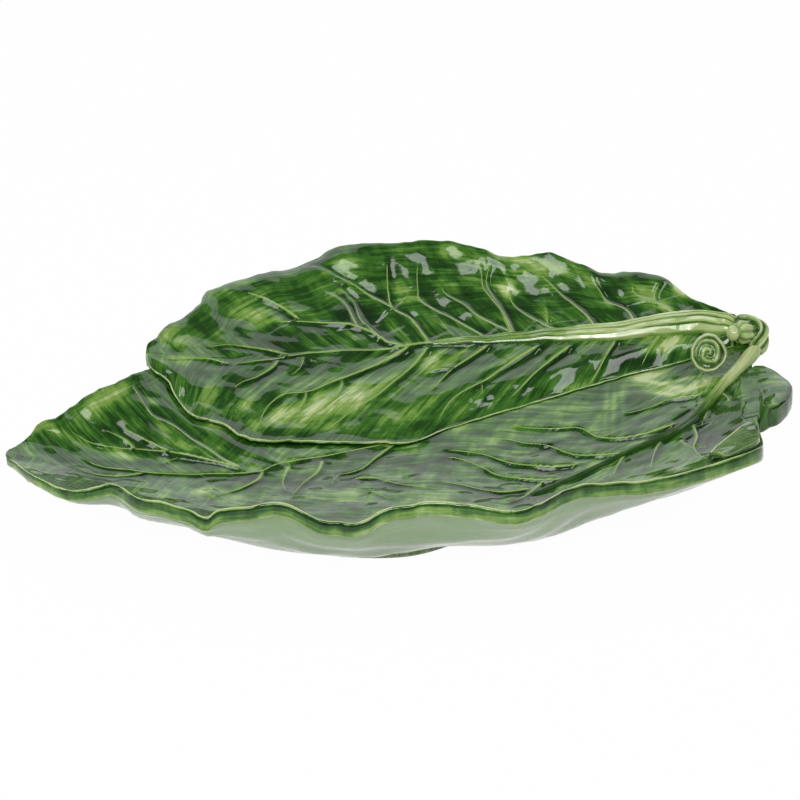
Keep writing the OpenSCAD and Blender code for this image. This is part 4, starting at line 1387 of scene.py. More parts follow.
@dataclass
class Bud:
    """A small ball with a ribbed cap behind it, beside the knuckle, and the stem under it."""

    back: Triple = (167.4, 54.4, 51.3)
    lean: Triple = (-1.0, -0.7, 0.2)
    radius: float = 5.9
    length: float = 10.8
    ribs: int = 7
    stem: tuple[Triple, ...] = (
        (170.5, 57.0, 48.5), (169.5, 59.0, 45.0), (168.8, 60.5, 41.5), (168.3, 61.5, 37.5))
    stem_radius: float = 2.6
    furrow: float = 0.16
    neck_share: float = 0.55
    profile: tuple[Pair, ...] = (
        (-0.55, 0.42), (-0.4, 0.66), (-0.2, 0.82), (0, 0.92), (0.26, 1), (0.38, 0.96),
        (0.46, 0.8), (0.52, 0.55), (0.56, 0.48), (0.62, 0.58), (0.72, 0.66), (0.82, 0.63),
        (0.92, 0.46), (0.98, 0.24), (1, 0.08))

    def build(self) -> ClayMesh:
        """The bud's closed mesh.

        Returns:
            The mesh.
        """
        way = unit(np.array(self.lean))
        line = smooth_line(np.array(self.profile) * 100, 2.0) / 100
        side = unit(np.cross(way, [0.0, 0.0, 1.0]))
        up = np.cross(side, way)
        g = np.linspace(0.0, 2 * math.pi, 70, endpoint=False)
        in_cap = ease((self.neck_share - line[:, 0]) / 0.08)[:, None]
        furrow = (0.5 + 0.5 * np.cos(self.ribs * g))[None, :] ** 2
        r = np.clip(line[:, 1:2], 0.02, 1.0) * self.radius * (1 - self.furrow * in_cap * furrow)
        out = np.cos(g)[None, :, None] * side + np.sin(g)[None, :, None] * up
        rings = (np.array(self.back) + line[:, 0][:, None, None] * self.length * way
                 + r[..., None] * out)
        # Furrows and neck dark as pooled glaze and painted shade; the rear end dark as painted
        # shade.
        neck = bell(line[:, 0] - self.neck_share, 0.05)[:, None] + np.zeros_like(r)
        rear = ease((0.02 - line[:, :1]) / 0.2) + np.zeros_like(r)
        masks = {"crest": (in_cap * (1 - furrow) * 0.45 * (1 - rear)).ravel(),
                 "pool": (np.clip(in_cap * furrow * 0.9 + neck, 0, 1) + 1.3 * rear).ravel(),
                 "tone": mix(0.48, 0.36, in_cap + np.zeros_like(r)).ravel()}
        return tube(rings, masks)


@dataclass
class Curl:
    """The rolled stalk end: a leaning disc with a squarish scroll inside a pale outer roll."""

    shares: Pair = (0.785, 0.28)
    tilt: float = 24.0
    radius: float = 9.3
    tall: float = 1.07
    solid_radius: float = 9.5
    solid_tall: float = 1.08
    depth: float = 6.0
    scroll_rise: float = 1.45
    turns: float = 2.2
    rings: int = 100
    sides: int = 160
    wall: tuple[Pair, ...] = ((0.75, 0.0), (0.5, 0.02), (0.25, 0.05), (0.08, 0.12),
                                             (0.0, 0.22))

    def seat(self, at: Array) -> float:
        """Height of the disc's middle at which its round edge stands on the lower leaf.

        Args:
            at: Place of the middle in mm.

        Returns:
            The height in mm.
        """
        heights = []
        lean = math.radians(self.tilt)
        for g in np.radians(np.arange(90.0, 271.0, 10.0)):
            tall = self.solid_tall * math.cos(g)
            d = self.solid_radius * np.array(
                [math.sin(g), tall * math.sin(lean), tall * math.cos(lean)])
            heights.append(float(DISH.height(at + d[:2])) + DISH.fit_gap - d[2])
        return max(heights)

    def build(self) -> ClayMesh:
        """The curl's closed mesh, leaning back by its tilt.

        Returns:
            The mesh.
        """
        at = np.array(self.shares) * np.array([DISH.half_length, DISH.half_width])
        g = np.linspace(0.0, 2 * math.pi, self.sides, endpoint=False)
        outline = (1 - 0.03 * (1 - np.cos(4 * g + 0.5)) / 2 - 0.02 * (1 - np.cos(3 * g + 1.0))
                   - 0.008 * (1 - np.cos(11 * g)))
        t = np.linspace(0.02, 1.0, self.rings)
        x, y = t[:, None] * np.cos(g)[None, :], t[:, None] * np.sin(g)[None, :]
        square = (np.abs(x) ** 3 + np.abs(y) ** 3) ** (1 / 3)
        phase = square * 1.03 * self.turns - g[None, :] / (2 * math.pi) - 0.18
        roll = 0.5 + 0.5 * np.cos(2 * math.pi * phase)
        inner = roll ** 1.3 * ease((0.80 - t)[:, None] / 0.08)
        outer = bell(t[:, None] - 0.895 - 0.012 * np.cos(5 * g)[None, :], 0.085)
        dip = bell(t[:, None] - 0.765, 0.05)
        fall = -2.2 * ease((t[:, None] - 0.93) / 0.07)
        z = self.depth + self.scroll_rise * (0.6 * inner + outer - 0.35 * dip) * 0.98 + fall
        r = self.radius * t[:, None] * outline[None, :]
        face = np.stack([r * np.cos(g)[None, :], r * np.sin(g)[None, :] * self.tall, z], axis=-1)
        walls = []
        for share, inset in self.wall:
            wr = self.radius * (1 - inset) * outline
            walls.append(np.stack([wr * np.cos(g), wr * np.sin(g) * self.tall,
                                   np.full_like(g, self.depth * share)], axis=-1))
        rings = np.concatenate([face, np.array(walls)])
        a = math.radians(90.0 - self.tilt)
        turn = np.array([[1, 0, 0], [0, math.cos(a), -math.sin(a)], [0, math.sin(a), math.cos(a)]])
        points = rings.reshape(-1, 3) @ turn.T + np.array([*at, self.seat(at)])
        rest = np.zeros((len(self.wall), self.sides))
        crest = np.concatenate([np.maximum(inner * 0.4, outer), rest])
        # Scroll grooves and the dip inside the outer roll laid dark: pooled glaze and painted
        # shade.
        pool = np.concatenate([np.clip(1.15 * (1 - roll) - outer, 0, 1) * 0.8 + 0.8 * dip, rest])
        tone = np.concatenate([0.12 + 0.42 * outer + 0.12 * inner, rest + 0.1])
        flow = rings[..., :2].copy()
        return ClayMesh(points, outward(points, ringed_tube(rings)),
                        {"crest": crest.ravel(), "pool": np.clip(pool, 0, 1).ravel(),
                         "tone": tone.ravel(), "flow": flow.reshape(-1, 2)})


@dataclass
class Sheet:
    """A small closed sheet over a grid of places between two grids of heights."""

    places: Array
    highs: Array
    lows: Array
    rim_round: float
    angles: Shares = (60.0, 30.0, 0.0, -30.0, -60.0)

    def build(self, masks: Grid) -> ClayMesh:
        """The closed sheet.

        Args:
            masks: Masks over the upper face's grid.

        Returns:
            The mesh with a rounded rim.
        """
        n, m = self.highs.shape
        walk = rim_walk(n, m)
        wi, wj = np.array(walk).T
        outer = self.places[wi, wj]
        grid = self.places.copy()
        pull = outer - self.places[np.clip(wi, 2, n - 3), np.clip(wj, 2, m - 3)]
        size = np.maximum(np.linalg.norm(pull, axis=1, keepdims=True), 1e-6)
        inner = outer - pull / size * np.minimum(self.rim_round, size * 0.8)
        grid[wi, wj] = inner
        band = rim_band(inner, outer, self.highs[wi, wj], self.lows[wi, wj], self.angles)
        w, first = len(walk), n * m
        base = first + len(self.angles) * w
        loops = [[i * m + j for i, j in walk]]
        loops += [range(first + s * w, first + (s + 1) * w) for s in range(len(self.angles))]
        loops.append([base + i * m + j for i, j in walk])
        faces = grid_faces(n, m, 0, True) + grid_faces(n, m, base, False) + ring_faces(loops)
        out = {}
        for mask in MASKS:
            top_mask = masks.get(mask, np.zeros((n, m)))
            rim = [top_mask[wi, wj] * (0.8 if angle > 0 else 0.3) for angle in self.angles]
            low_mask = np.full(n * m, 0.6 if mask == "under" else 0.0)
            out[mask] = np.concatenate([top_mask.ravel(), *rim, low_mask])
        points = np.concatenate([raised(grid, self.highs), *band, raised(grid, self.lows)])
        return ClayMesh(points, outward(points, faces), out)


@dataclass
class Margin:
    """The lobe and the folded lip, which follow the lower leaf's front edge."""

    edge: LeafPath
    relief: Relief
    lobe_span: Pair = (0.90, 0.998)
    lobe_crown: float = 6.0
    lobe_edge: float = 5.0
    lobe_lap: Pair = (10.0, 3.5)
    lobe_cover: Pair = (0.5, -0.7)
    lobe_sink: float = -0.8
    lip_span: Pair = (0.765, 0.89)
    lip_width: float = 24.5
    lip_thick: Pair = (3.3, 4.3)
    lip_off: float = 1.9

    def lobe(self, ground: BVHTree) -> ClayMesh:
        """The lobe outside the leaf's edge, which runs on from the leaf's face under it.

        Args:
            ground: The leaf's face, in mm.

        Returns:
            The mesh.
        """
        share = np.linspace(0.12, 1.0, 14)
        covers = mix(*self.lobe_cover, ease((share - 0.72) / 0.28))
        t = np.linspace(0.0, 1.0, 91)
        edge = self.edge.at(mix(*self.lobe_span, t))
        k = np.linspace(1.0, 0.0, 41)
        x = edge[:, 0] + 0.8
        near = x + 4.0
        swell = np.maximum(np.sin(math.pi * t), 0) ** mix(0.5, 1.2, t)
        out = near + (DISH.half_length - 0.2 - near) * swell
        out = out - 0.2 * swell * (0.5 + 0.5 * np.cos(t * 40.0))
        inwards = self.lobe_lap[0] + self.lobe_lap[1] * wavy(t * 53.0, 17.0, 57)
        grid_x = np.concatenate([mix(x[:, None], out[:, None], k[None, :]),
                                 x[:, None] - inwards[:, None] * share[None, :]], axis=1)
        places = np.stack([grid_x, edge[:, 1:2] * np.ones((1, grid_x.shape[1]))], axis=-1)
        first = len(k)
        k = np.concatenate([k, np.zeros(len(share))])
        base = DISH.height(edge[:, :2])[:, None]
        dome = self.lobe_crown * np.sin(np.radians(180 * 0.85 * k)) ** 0.7
        rest = np.minimum(DISH.height(places), base)
        highs = rest + dome[None, :] * (1 - t)[:, None] + 0.3
        ends = ease(np.minimum(t, 1 - t) / 0.08)
        for j, cover in enumerate(covers, start=first):
            seen = [drop(ground, *place) for place in places[:, j]]
            face = np.array([h if z is None else z for z, h in zip(seen, highs[:, j])])
            highs[:, j] = calmed(face, 3) + mix(self.lobe_sink, cover, ends)
        fade = ease(np.minimum(t, 1 - t) / 0.1)[:, None]
        highs = highs + 0.3 * soft_noise(places, 7.0, 21) * fade
        lows = np.minimum(base - mix(8.0, self.lobe_edge, ease(k))[None, :], highs - 1.0)
        tone = self.relief.tone(raised(places, highs)).reshape(highs.shape)
        tone = tone + 0.14 * ease(k)[None, :]
        line = bell(k - 0.94, 0.07)[None, :] * 1.3 + np.zeros_like(highs)
        return Sheet(places, highs, lows, 1.5).build(
            {"tone": tone, "pool": line, "turn": np.full_like(highs, 0.9)})

    def lip(self, ground: BVHTree) -> tuple[ClayMesh, Array]:
        """The folded lip on the leaf's right front corner.

        Args:
            ground: The leaf's face under it, in mm.

        Returns:
            The mesh and the line of its raised inner edge.
        """
        t = np.linspace(0.0, 1.0, 61)
        share = mix(*self.lip_span, t)
        edge, d = self.edge.at(share), self.edge.heading(share)
        inward = np.column_stack([-d[:, 1], d[:, 0]])
        wide = mix(mix(0.02, 0.15, t), 1.0, np.sin(math.pi * t ** 0.78)) * self.lip_width
        k = np.linspace(0.0, 1.0, 41)
        reach = self.lip_off + wide[:, None] * k[None, :]
        places = edge[:, None, :2] + inward[:, None, :] * reach[..., None]
        lows = DISH.height(places) + 2 * DISH.fit_gap
        crown = np.sin(math.pi * mix(0.0, 0.95, t))[:, None]
        highs = lows + mix(1.0, mix(*self.lip_thick, k)[None, :], crown)
        highs = highs + 0.25 * soft_noise(places, 8.0, 31) * ease((1 - k) / 0.2)[None, :]
        for i in range(len(t)):
            for j in range(len(k)):
                seen = drop(ground, *places[i, j])
                if seen is not None:
                    highs[i, j] = max(highs[i, j], seen + mix(0.3, 1.2, crown[i, 0]))
        near, far = bell(k, 0.05)[None, :], bell(k - 1.0, 0.07)[None, :]
        crest = np.maximum(near * 0.6, far) + np.zeros_like(highs)
        tone = mix(-0.10, 0.06, k)[None, :] + 0.2 * far + np.zeros_like(highs)
        # Painted reflection: the whitish under colour, stronger toward the inner edge, stands in
        # for the lip's grey sheen.
        under = mix(0.12, 0.42, ease(k / 0.8))[None, :] + np.zeros_like(highs)
        mesh = Sheet(places, highs, lows, 1.0).build(
            {"tone": tone, "crest": crest, "under": under, "turn": np.ones_like(highs)})
        return mesh, np.column_stack([places[:, -3], highs[:, -3] - 0.1])


@dataclass
class FootRing:
    """The rounded ring under the floor."""

    width: float = 9.0
    shares: Shares = (0.45, 0.42, 0.40, 0.40, 0.42, 0.45, 0.45, 0.47, 0.53, 0.55, 0.42,
                                 0.44)
    steps: int = 360
    profile: tuple[Triple, ...] = (
        (0.0, 1.0, 0.0), (0.0, 0.6, 0.0), (0.1, 0.3, 0.05), (0.6, 0.12, 0.4), (1.3, 0.03, 0.9),
        (2.3, 0.0, 1.0), (6.7, 0.0, 1.0), (7.7, 0.03, 0.9), (8.4, 0.12, 0.8), (8.9, 0.3, 0.8),
        (9.0, 0.6, 0.8), (9.0, 1.0, 0.8))

    def place(self, angle: Array, inwards: Array) -> Array:
        """Places of the ring at angles in degrees, moved inwards by mm."""
        r = around(self.shares, angle) * around(DISH.reach_shares, angle)
        a = np.radians(angle)
        d = np.stack([r * np.cos(a) * DISH.half_length, r * np.sin(a) * DISH.half_width], axis=-1)
        return DISH.middle + d * (1 - inwards / np.linalg.norm(d, axis=-1))[..., None]

    def build(self) -> ClayMesh:
        """The ring's closed mesh, with a streaked outside and a pale foot.

        Returns:
            The mesh.
        """
        angle = np.linspace(0.0, 360.0, self.steps, endpoint=False)
        loops, under, tone = [], [], []
        for inwards, share, pale in self.profile:
            p = self.place(angle, np.full_like(angle, inwards))
            top = np.maximum(DISH.foot_height, DISH.height(p) - DISH.lower_wall) - 0.4
            loops.append(np.column_stack([p, top * share]))
            under.append(np.full(self.steps, pale))
            # Laid light: painted light that makes up for the shade under the dish.
            tone.append(0.52 + 0.14 * wavy(angle, 9.0, 81))
        points = np.concatenate(loops)
        numbers = np.arange(len(points)).reshape(-1, self.steps).tolist()
        faces = [(a, d, c, b) for a, b, c, d in ring_faces([*numbers, numbers[0]])]
        return ClayMesh(points, outward(points, faces),
                        {"tone": np.concatenate(tone), "under": np.concatenate(under)})


# --- Rolls: thin raised lines swept along paths by Geometry Nodes ---


def wired(tree: bpy.types.NodeTree, kinds: dict[str, str],
          wires: Sequence[tuple[str, object, str, object]]) -> dict[str, bpy.types.Node]:
    """Adds nodes to a tree and links them.

    Args:
        tree: The tree.
        kinds: Name and kind of each node; a node whose kind is its name is there already.
        wires: From which node and output to which node and input each link runs.

    Returns:
        The nodes by their names.
    """
    nodes = {name: tree.nodes[name] if name == kind else tree.nodes.new(kind)
             for name, kind in kinds.items()}
    for start, output, end, entry in wires:
        tree.links.new(nodes[start].outputs[output], nodes[end].inputs[entry])
    return nodes


def opened(tree: bpy.types.NodeTree, way: str, kind: str, *names: str) -> None:
    """Gives a node group named inputs or outputs of one kind."""
    for name in names:
        tree.interface.new_socket(name, in_out=way, socket_type="NodeSocket" + kind)


class RollTree:
    """Geometry Nodes tree that sweeps a round roll along paths, as thick as each point says."""

    crest: float = 0.9
    sides: int = 8

    def __init__(self) -> None:
        """Builds the tree with its named inputs."""
        tree = bpy.data.node_groups.new("Vein roll", "GeometryNodeTree")
        opened(tree, "INPUT", "Geometry", "Paths")
        opened(tree, "INPUT", "Int", "Sides")
        opened(tree, "INPUT", "Float", "Roll radius")
        opened(tree, "INPUT", "Material", "Finish")
        opened(tree, "OUTPUT", "Geometry", "Rolls")
        given = {item.name: item for item in tree.interface.items_tree if item.in_out == "INPUT"}
        given["Sides"].default_value, given["Sides"].min_value = self.sides, 3
        nodes = wired(tree, {
            "given": "NodeGroupInput", "curve": "GeometryNodeMeshToCurve",
            "size": "GeometryNodeInputNamedAttribute", "radius": "GeometryNodeSetCurveRadius",
            "circle": "GeometryNodeCurvePrimitiveCircle", "sweep": "GeometryNodeCurveToMesh",
            "smooth": "GeometryNodeSetShadeSmooth", "real": "GeometryNodeRealizeInstances",
            "dress": "GeometryNodeSetMaterial", "out": "NodeGroupOutput"}, (
            ("given", "Paths", "curve", "Mesh"), ("curve", "Curve", "radius", "Curve"),
            ("given", "Sides", "circle", "Resolution"),
            ("given", "Roll radius", "circle", "Radius"), ("radius", "Curve", "sweep", "Curve"),
            ("circle", "Curve", "sweep", "Profile Curve"),
            ("sweep", "Mesh", "smooth", "Geometry"), ("smooth", "Geometry", "real", "Geometry"),
            ("real", "Geometry", "dress", "Geometry"), ("given", "Finish", "dress", "Material"),
            ("dress", "Geometry", "out", "Rolls")))
        nodes["sweep"].inputs["Fill Caps"].default_value = True
        size = nodes["size"]
        size.data_type = "FLOAT"
        size.inputs["Name"].default_value = "size"
        sized = [nodes["radius"].inputs["Radius"]]
        if "Scale" in nodes["sweep"].inputs:
            sized.append(nodes["sweep"].inputs["Scale"])
        for entry in sized:
            tree.links.new(size.outputs["Attribute"], entry)
        self.tree = tree
        self.ids = {name: item.identifier for name, item in given.items()}

    def sweep(self, name: str, lines: Sequence[Array], sizes: Sequence[Array],
              radius: float, finish: bpy.types.Material) -> bpy.types.Object:
        """Sweeps rolls along lines.

        Args:
            name: Name of the new piece.
            lines: Points of each line in mm.
            sizes: Share of the radius at each point.
            radius: Radius of the roll in mm.
            finish: Material of the rolls.

        Returns:
            A plain mesh object.
        """
        points = np.concatenate(lines) * MM
        edges, start = [], 0
        for line in lines:
            edges += [(start + i, start + i + 1) for i in range(len(line) - 1)]
            start += len(line)
        mesh = bpy.data.meshes.new(name + "_paths")
        mesh.from_pydata(points.tolist(), edges, [])
        noted(mesh, "size", np.concatenate(sizes))
        carrier = placed(name + "_paths", mesh)
        modifier = carrier.modifiers.new("Vein roll", "NODES")
        modifier.node_group = self.tree
        modifier[self.ids["Roll radius"]] = radius * MM
        modifier[self.ids["Finish"]] = finish
        depsgraph = bpy.context.evaluated_depsgraph_get()
        swept = bpy.data.meshes.new_from_object(carrier.evaluated_get(depsgraph))
        carrier.modifiers.remove(modifier)
        bpy.data.objects.remove(carrier)
        swept.name = name
        count = len(swept.vertices)
        noted(swept, "crest", np.full(count, self.crest))
        places = np.empty(3 * count, np.float32)
        swept.vertices.foreach_get("co", places)
        noted(swept, "flow", places.reshape(-1, 3))
        return placed(name, swept)


# --- Finishes ---

class Mixing(Enum):
    """What a Mix node mixes, the number of its first input and that of its output."""

    VALUE = ("FLOAT", 2, 0)
    COLOUR = ("RGBA", 6, 2)


class BrushedGlaze:
    """Brushed glaze shader group: dark in pooled glaze and painted shade, thin and pale on crests.
    """

    masks: tuple[str, ...] = ("Crest", "Pool", "Tone", "Under", "Turn")
    colours: tuple[str, ...] = ("Deep", "Dark", "Green", "Light", "Pale", "Crest colour",
                                "Under colour")
    ramp: tuple[tuple[str, float, float], ...] = (
        ("Dark", 0.06, 0.26), ("Green", 0.28, 0.50), ("Light", 0.48, 0.74), ("Pale", 0.74, 1.04))
    rest_tone: float = 0.42

    def __init__(self) -> None:
        """Builds the group with its named inputs and outputs."""
        tree = bpy.data.node_groups.new("Brushed glaze", "ShaderNodeTree")
        opened(tree, "INPUT", "Float", *self.masks, "Streak strength")
        opened(tree, "INPUT", "Vector", "Flow")
        opened(tree, "INPUT", "Color", *self.colours)
        opened(tree, "OUTPUT", "Color", "Color")
        opened(tree, "OUTPUT", "Float", "Roughness", "Height")
        self.nodes, self.links = tree.nodes, tree.links
        given = self.nodes.new("NodeGroupInput").outputs
        where = self.nodes.new("ShaderNodeTexCoord").outputs["Object"]
        streak = self.mixed(Mixing.VALUE, self.brush(given["Flow"], 420.0, 30.0, 1.0),
                            self.brush(given["Flow"], 30.0, 420.0, 2.0), given["Turn"])
        dab = self.noise(given["Flow"], (110.0, 55.0, 1.0), 2.0, 5.0)
        cloud = self.noise(where, (34.0, 34.0, 34.0), 2.0, 9.0)
        grain = self.noise(where, (420.0, 420.0, 420.0), 2.0, 13.0)
        # The dark mask lowers the tone, for pooled glaze and painted shade.
        tone = self.sum(
            given["Tone"], self.rest_tone,
            self.times(self.less(streak, 0.5), given["Streak strength"]),
            self.times(self.less(dab, 0.5), 0.75), self.times(self.less(cloud, 0.5), 0.5),
            self.times(self.less(grain, 0.5), 0.15), self.times(given["Pool"], -0.36))
        colour = given["Deep"]
        for name, low, high in self.ramp:
            colour = self.mixed(Mixing.COLOUR, colour, given[name], self.steep(tone, low, high))
        rubbed = self.times(given["Crest"], self.sum(self.times(dab, 0.8), 0.55))
        colour = self.mixed(Mixing.COLOUR, colour, given["Crest colour"],
                            self.steep(rubbed, 0.2, 0.85))
        thin = self.steep(self.sum(streak, self.times(cloud, 0.5)), 0.55, 1.0)
        washed = self.mixed(Mixing.COLOUR, given["Under colour"], given["Light"],
                            self.times(thin, 0.5))
        colour = self.mixed(Mixing.COLOUR, colour, washed, given["Under"])
        rough = self.sum(0.045, self.times(grain, 0.04), self.times(given["Crest"], 0.05))
        height = self.sum(self.times(streak, 0.5), self.times(cloud, 0.7), self.times(grain, 0.1))
        out = self.nodes.new("NodeGroupOutput")
        self.links.new(colour, out.inputs["Color"])
        self.links.new(rough, out.inputs["Roughness"])
        self.links.new(height, out.inputs["Height"])
        self.tree = tree

    def maths(self, operation: str, *values: object) -> Socket:
        """A Math node over sockets or numbers.

        Args:
            operation: What the node does.
            *values: Its inputs.

        Returns:
            Its output.
        """
        node = self.nodes.new("ShaderNodeMath")
        node.operation = operation
        for socket, value in zip(node.inputs, values):
            if isinstance(value, (int, float)):
                socket.default_value = value
            else:
                self.links.new(value, socket)
        return node.outputs[0]

    def sum(self, *values: object) -> Socket:
        """Sum of sockets or numbers."""
        total = values[0]
        for value in values[1:]:
            total = self.maths("ADD", total, value)
        return total

    def times(self, a: object, b: object) -> Socket:
        """Product of two sockets or numbers."""
        return self.maths("MULTIPLY", a, b)

    def less(self, a: object, b: object) -> Socket:
        """Difference of two sockets or numbers."""
        return self.maths("SUBTRACT", a, b)

    def steep(self, value: object, low: float, high: float) -> Socket:
        """A smooth step of a value.

        Args:
            value: The value's socket.
            low: Where the step starts.
            high: Where it ends.

        Returns:
            A socket from 0 to 1.
        """
        node = self.nodes.new("ShaderNodeMapRange")
        node.interpolation_type = "SMOOTHSTEP"
        self.links.new(value, node.inputs["Value"])
        node.inputs["From Min"].default_value = low
        node.inputs["From Max"].default_value = high
        return node.outputs["Result"]

    def mixed(self, mixing: Mixing, a: object, b: object, share: object) -> Socket:
        """Value or colour between two others.

        Args:
            mixing: What is mixed.
            a: Socket at the share 0.
            b: Socket at the share 1.
            share: Socket of the share.

        Returns:
            The mixed socket.
        """
        kind, first, result = mixing.value
        node = self.nodes.new("ShaderNodeMix")
        node.data_type = kind
        for entry, socket in ((0, share), (first, a), (first + 1, b)):
            self.links.new(socket, node.inputs[entry])
        return node.outputs[result]

    def noise(self, where: object, scale: Triple, detail: float,
              seed: float) -> Socket:
        """Noise on stretched coordinates.

        Args:
            where: Socket of the coordinates.
            scale: Cells per metre along each axis.
            detail: How many finer layers it has.
            seed: Shift of the coordinates.

        Returns:
            A socket of about 0 to 1.
        """
        mapping = self.nodes.new("ShaderNodeMapping")
        mapping.inputs["Scale"].default_value = scale
        mapping.inputs["Location"].default_value = (seed, seed * 0.7, seed * 0.3)
        self.links.new(where, mapping.inputs["Vector"])
        node = self.nodes.new("ShaderNodeTexNoise")
        node.inputs["Scale"].default_value = 1.0
        node.inputs["Detail"].default_value = detail
        node.inputs["Roughness"].default_value = 0.6
        self.links.new(mapping.outputs["Vector"], node.inputs["Vector"])
        return node.outputs["Fac"]

    def brush(self, where: object, first: float, second: float, seed: float) -> Socket:
        """Brush marks: fine streaks with broader ones among them.

        Args:
            where: Socket of the coordinates.
            first: Marks per metre across.
            second: Marks per metre along.
            seed: Shift of the coordinates.

        Returns:
            A socket of about 0 to 1.
        """
        fine = self.noise(where, (first * 1.5, second * 1.3, 1.0), 3.0, seed)
        broad = self.noise(where, (first * 0.4, second * 0.5, 1.0), 2.0, seed + 20.0)
        return self.sum(self.times(fine, 0.6), self.times(broad, 0.4))


@dataclass(frozen=True)
class GlazeFinish:
    """Colours of one glaze over the piece's relief."""

    name: str
    deep: Colour = (0.0048, 0.026, 0.003, 1)
    dark: Colour = (0.013, 0.058, 0.006, 1)
    green: Colour = (0.045, 0.150, 0.016, 1)
    light: Colour = (0.185, 0.330, 0.062, 1)
    pale: Colour = (0.500, 0.590, 0.270, 1)
    crest: Colour = (0.305, 0.456, 0.127, 1)
    under: Colour = (0.32, 0.43, 0.27, 1)
    streak: float = 1.5
    bump: float = 0.25

    def material(self, glaze: BrushedGlaze) -> bpy.types.Material:
        """The glossy material of this finish.

        Args:
            glaze: The shared node group.

        Returns:
            The new material.
        """
        made = bpy.data.materials.new(self.name)
        made.use_nodes = True
        masks = [mask.lower() for mask in glaze.masks]
        nodes = wired(made.node_tree, {
            "Principled BSDF": "Principled BSDF", "group": "ShaderNodeGroup",
            "bump": "ShaderNodeBump",
            **dict.fromkeys((*masks, "flow"), "ShaderNodeAttribute")}, ())
        shader, group, bump = nodes["Principled BSDF"], nodes["group"], nodes["bump"]
        shader.inputs["IOR"].default_value = 1.5
        group.node_tree = glaze.tree
        links = made.node_tree.links
        for mask in (*masks, "flow"):
            nodes[mask].attribute_name = mask
            output = "Vector" if mask == "flow" else "Fac"
            links.new(nodes[mask].outputs[output], group.inputs[mask.capitalize()])
        own = (self.deep, self.dark, self.green, self.light, self.pale, self.crest, self.under)
        for socket, colour in zip(glaze.colours, own):
            group.inputs[socket].default_value = colour
        group.inputs["Streak strength"].default_value = self.streak
        bump.inputs["Strength"].default_value = self.bump
        bump.inputs["Distance"].default_value = 0.3 * MM
        links.new(group.outputs["Color"], shader.inputs["Base Color"])
        links.new(group.outputs["Roughness"], shader.inputs["Roughness"])
        links.new(group.outputs["Height"], bump.inputs["Height"])
        links.new(bump.outputs["Normal"], shader.inputs["Normal"])
        return made


class Slot(Enum):
    """Material slots of the record."""

    GREEN = "green_glaze"
    PALE = "pale_glaze"
    STALK = "stalk_glaze"


# --- The platter ---


def tree_of(mesh: ClayMesh) -> BVHTree:
    """A ray-cast tree over a mesh in mm."""
    return BVHTree.FromPolygons(mesh.points.tolist(), mesh.faces)


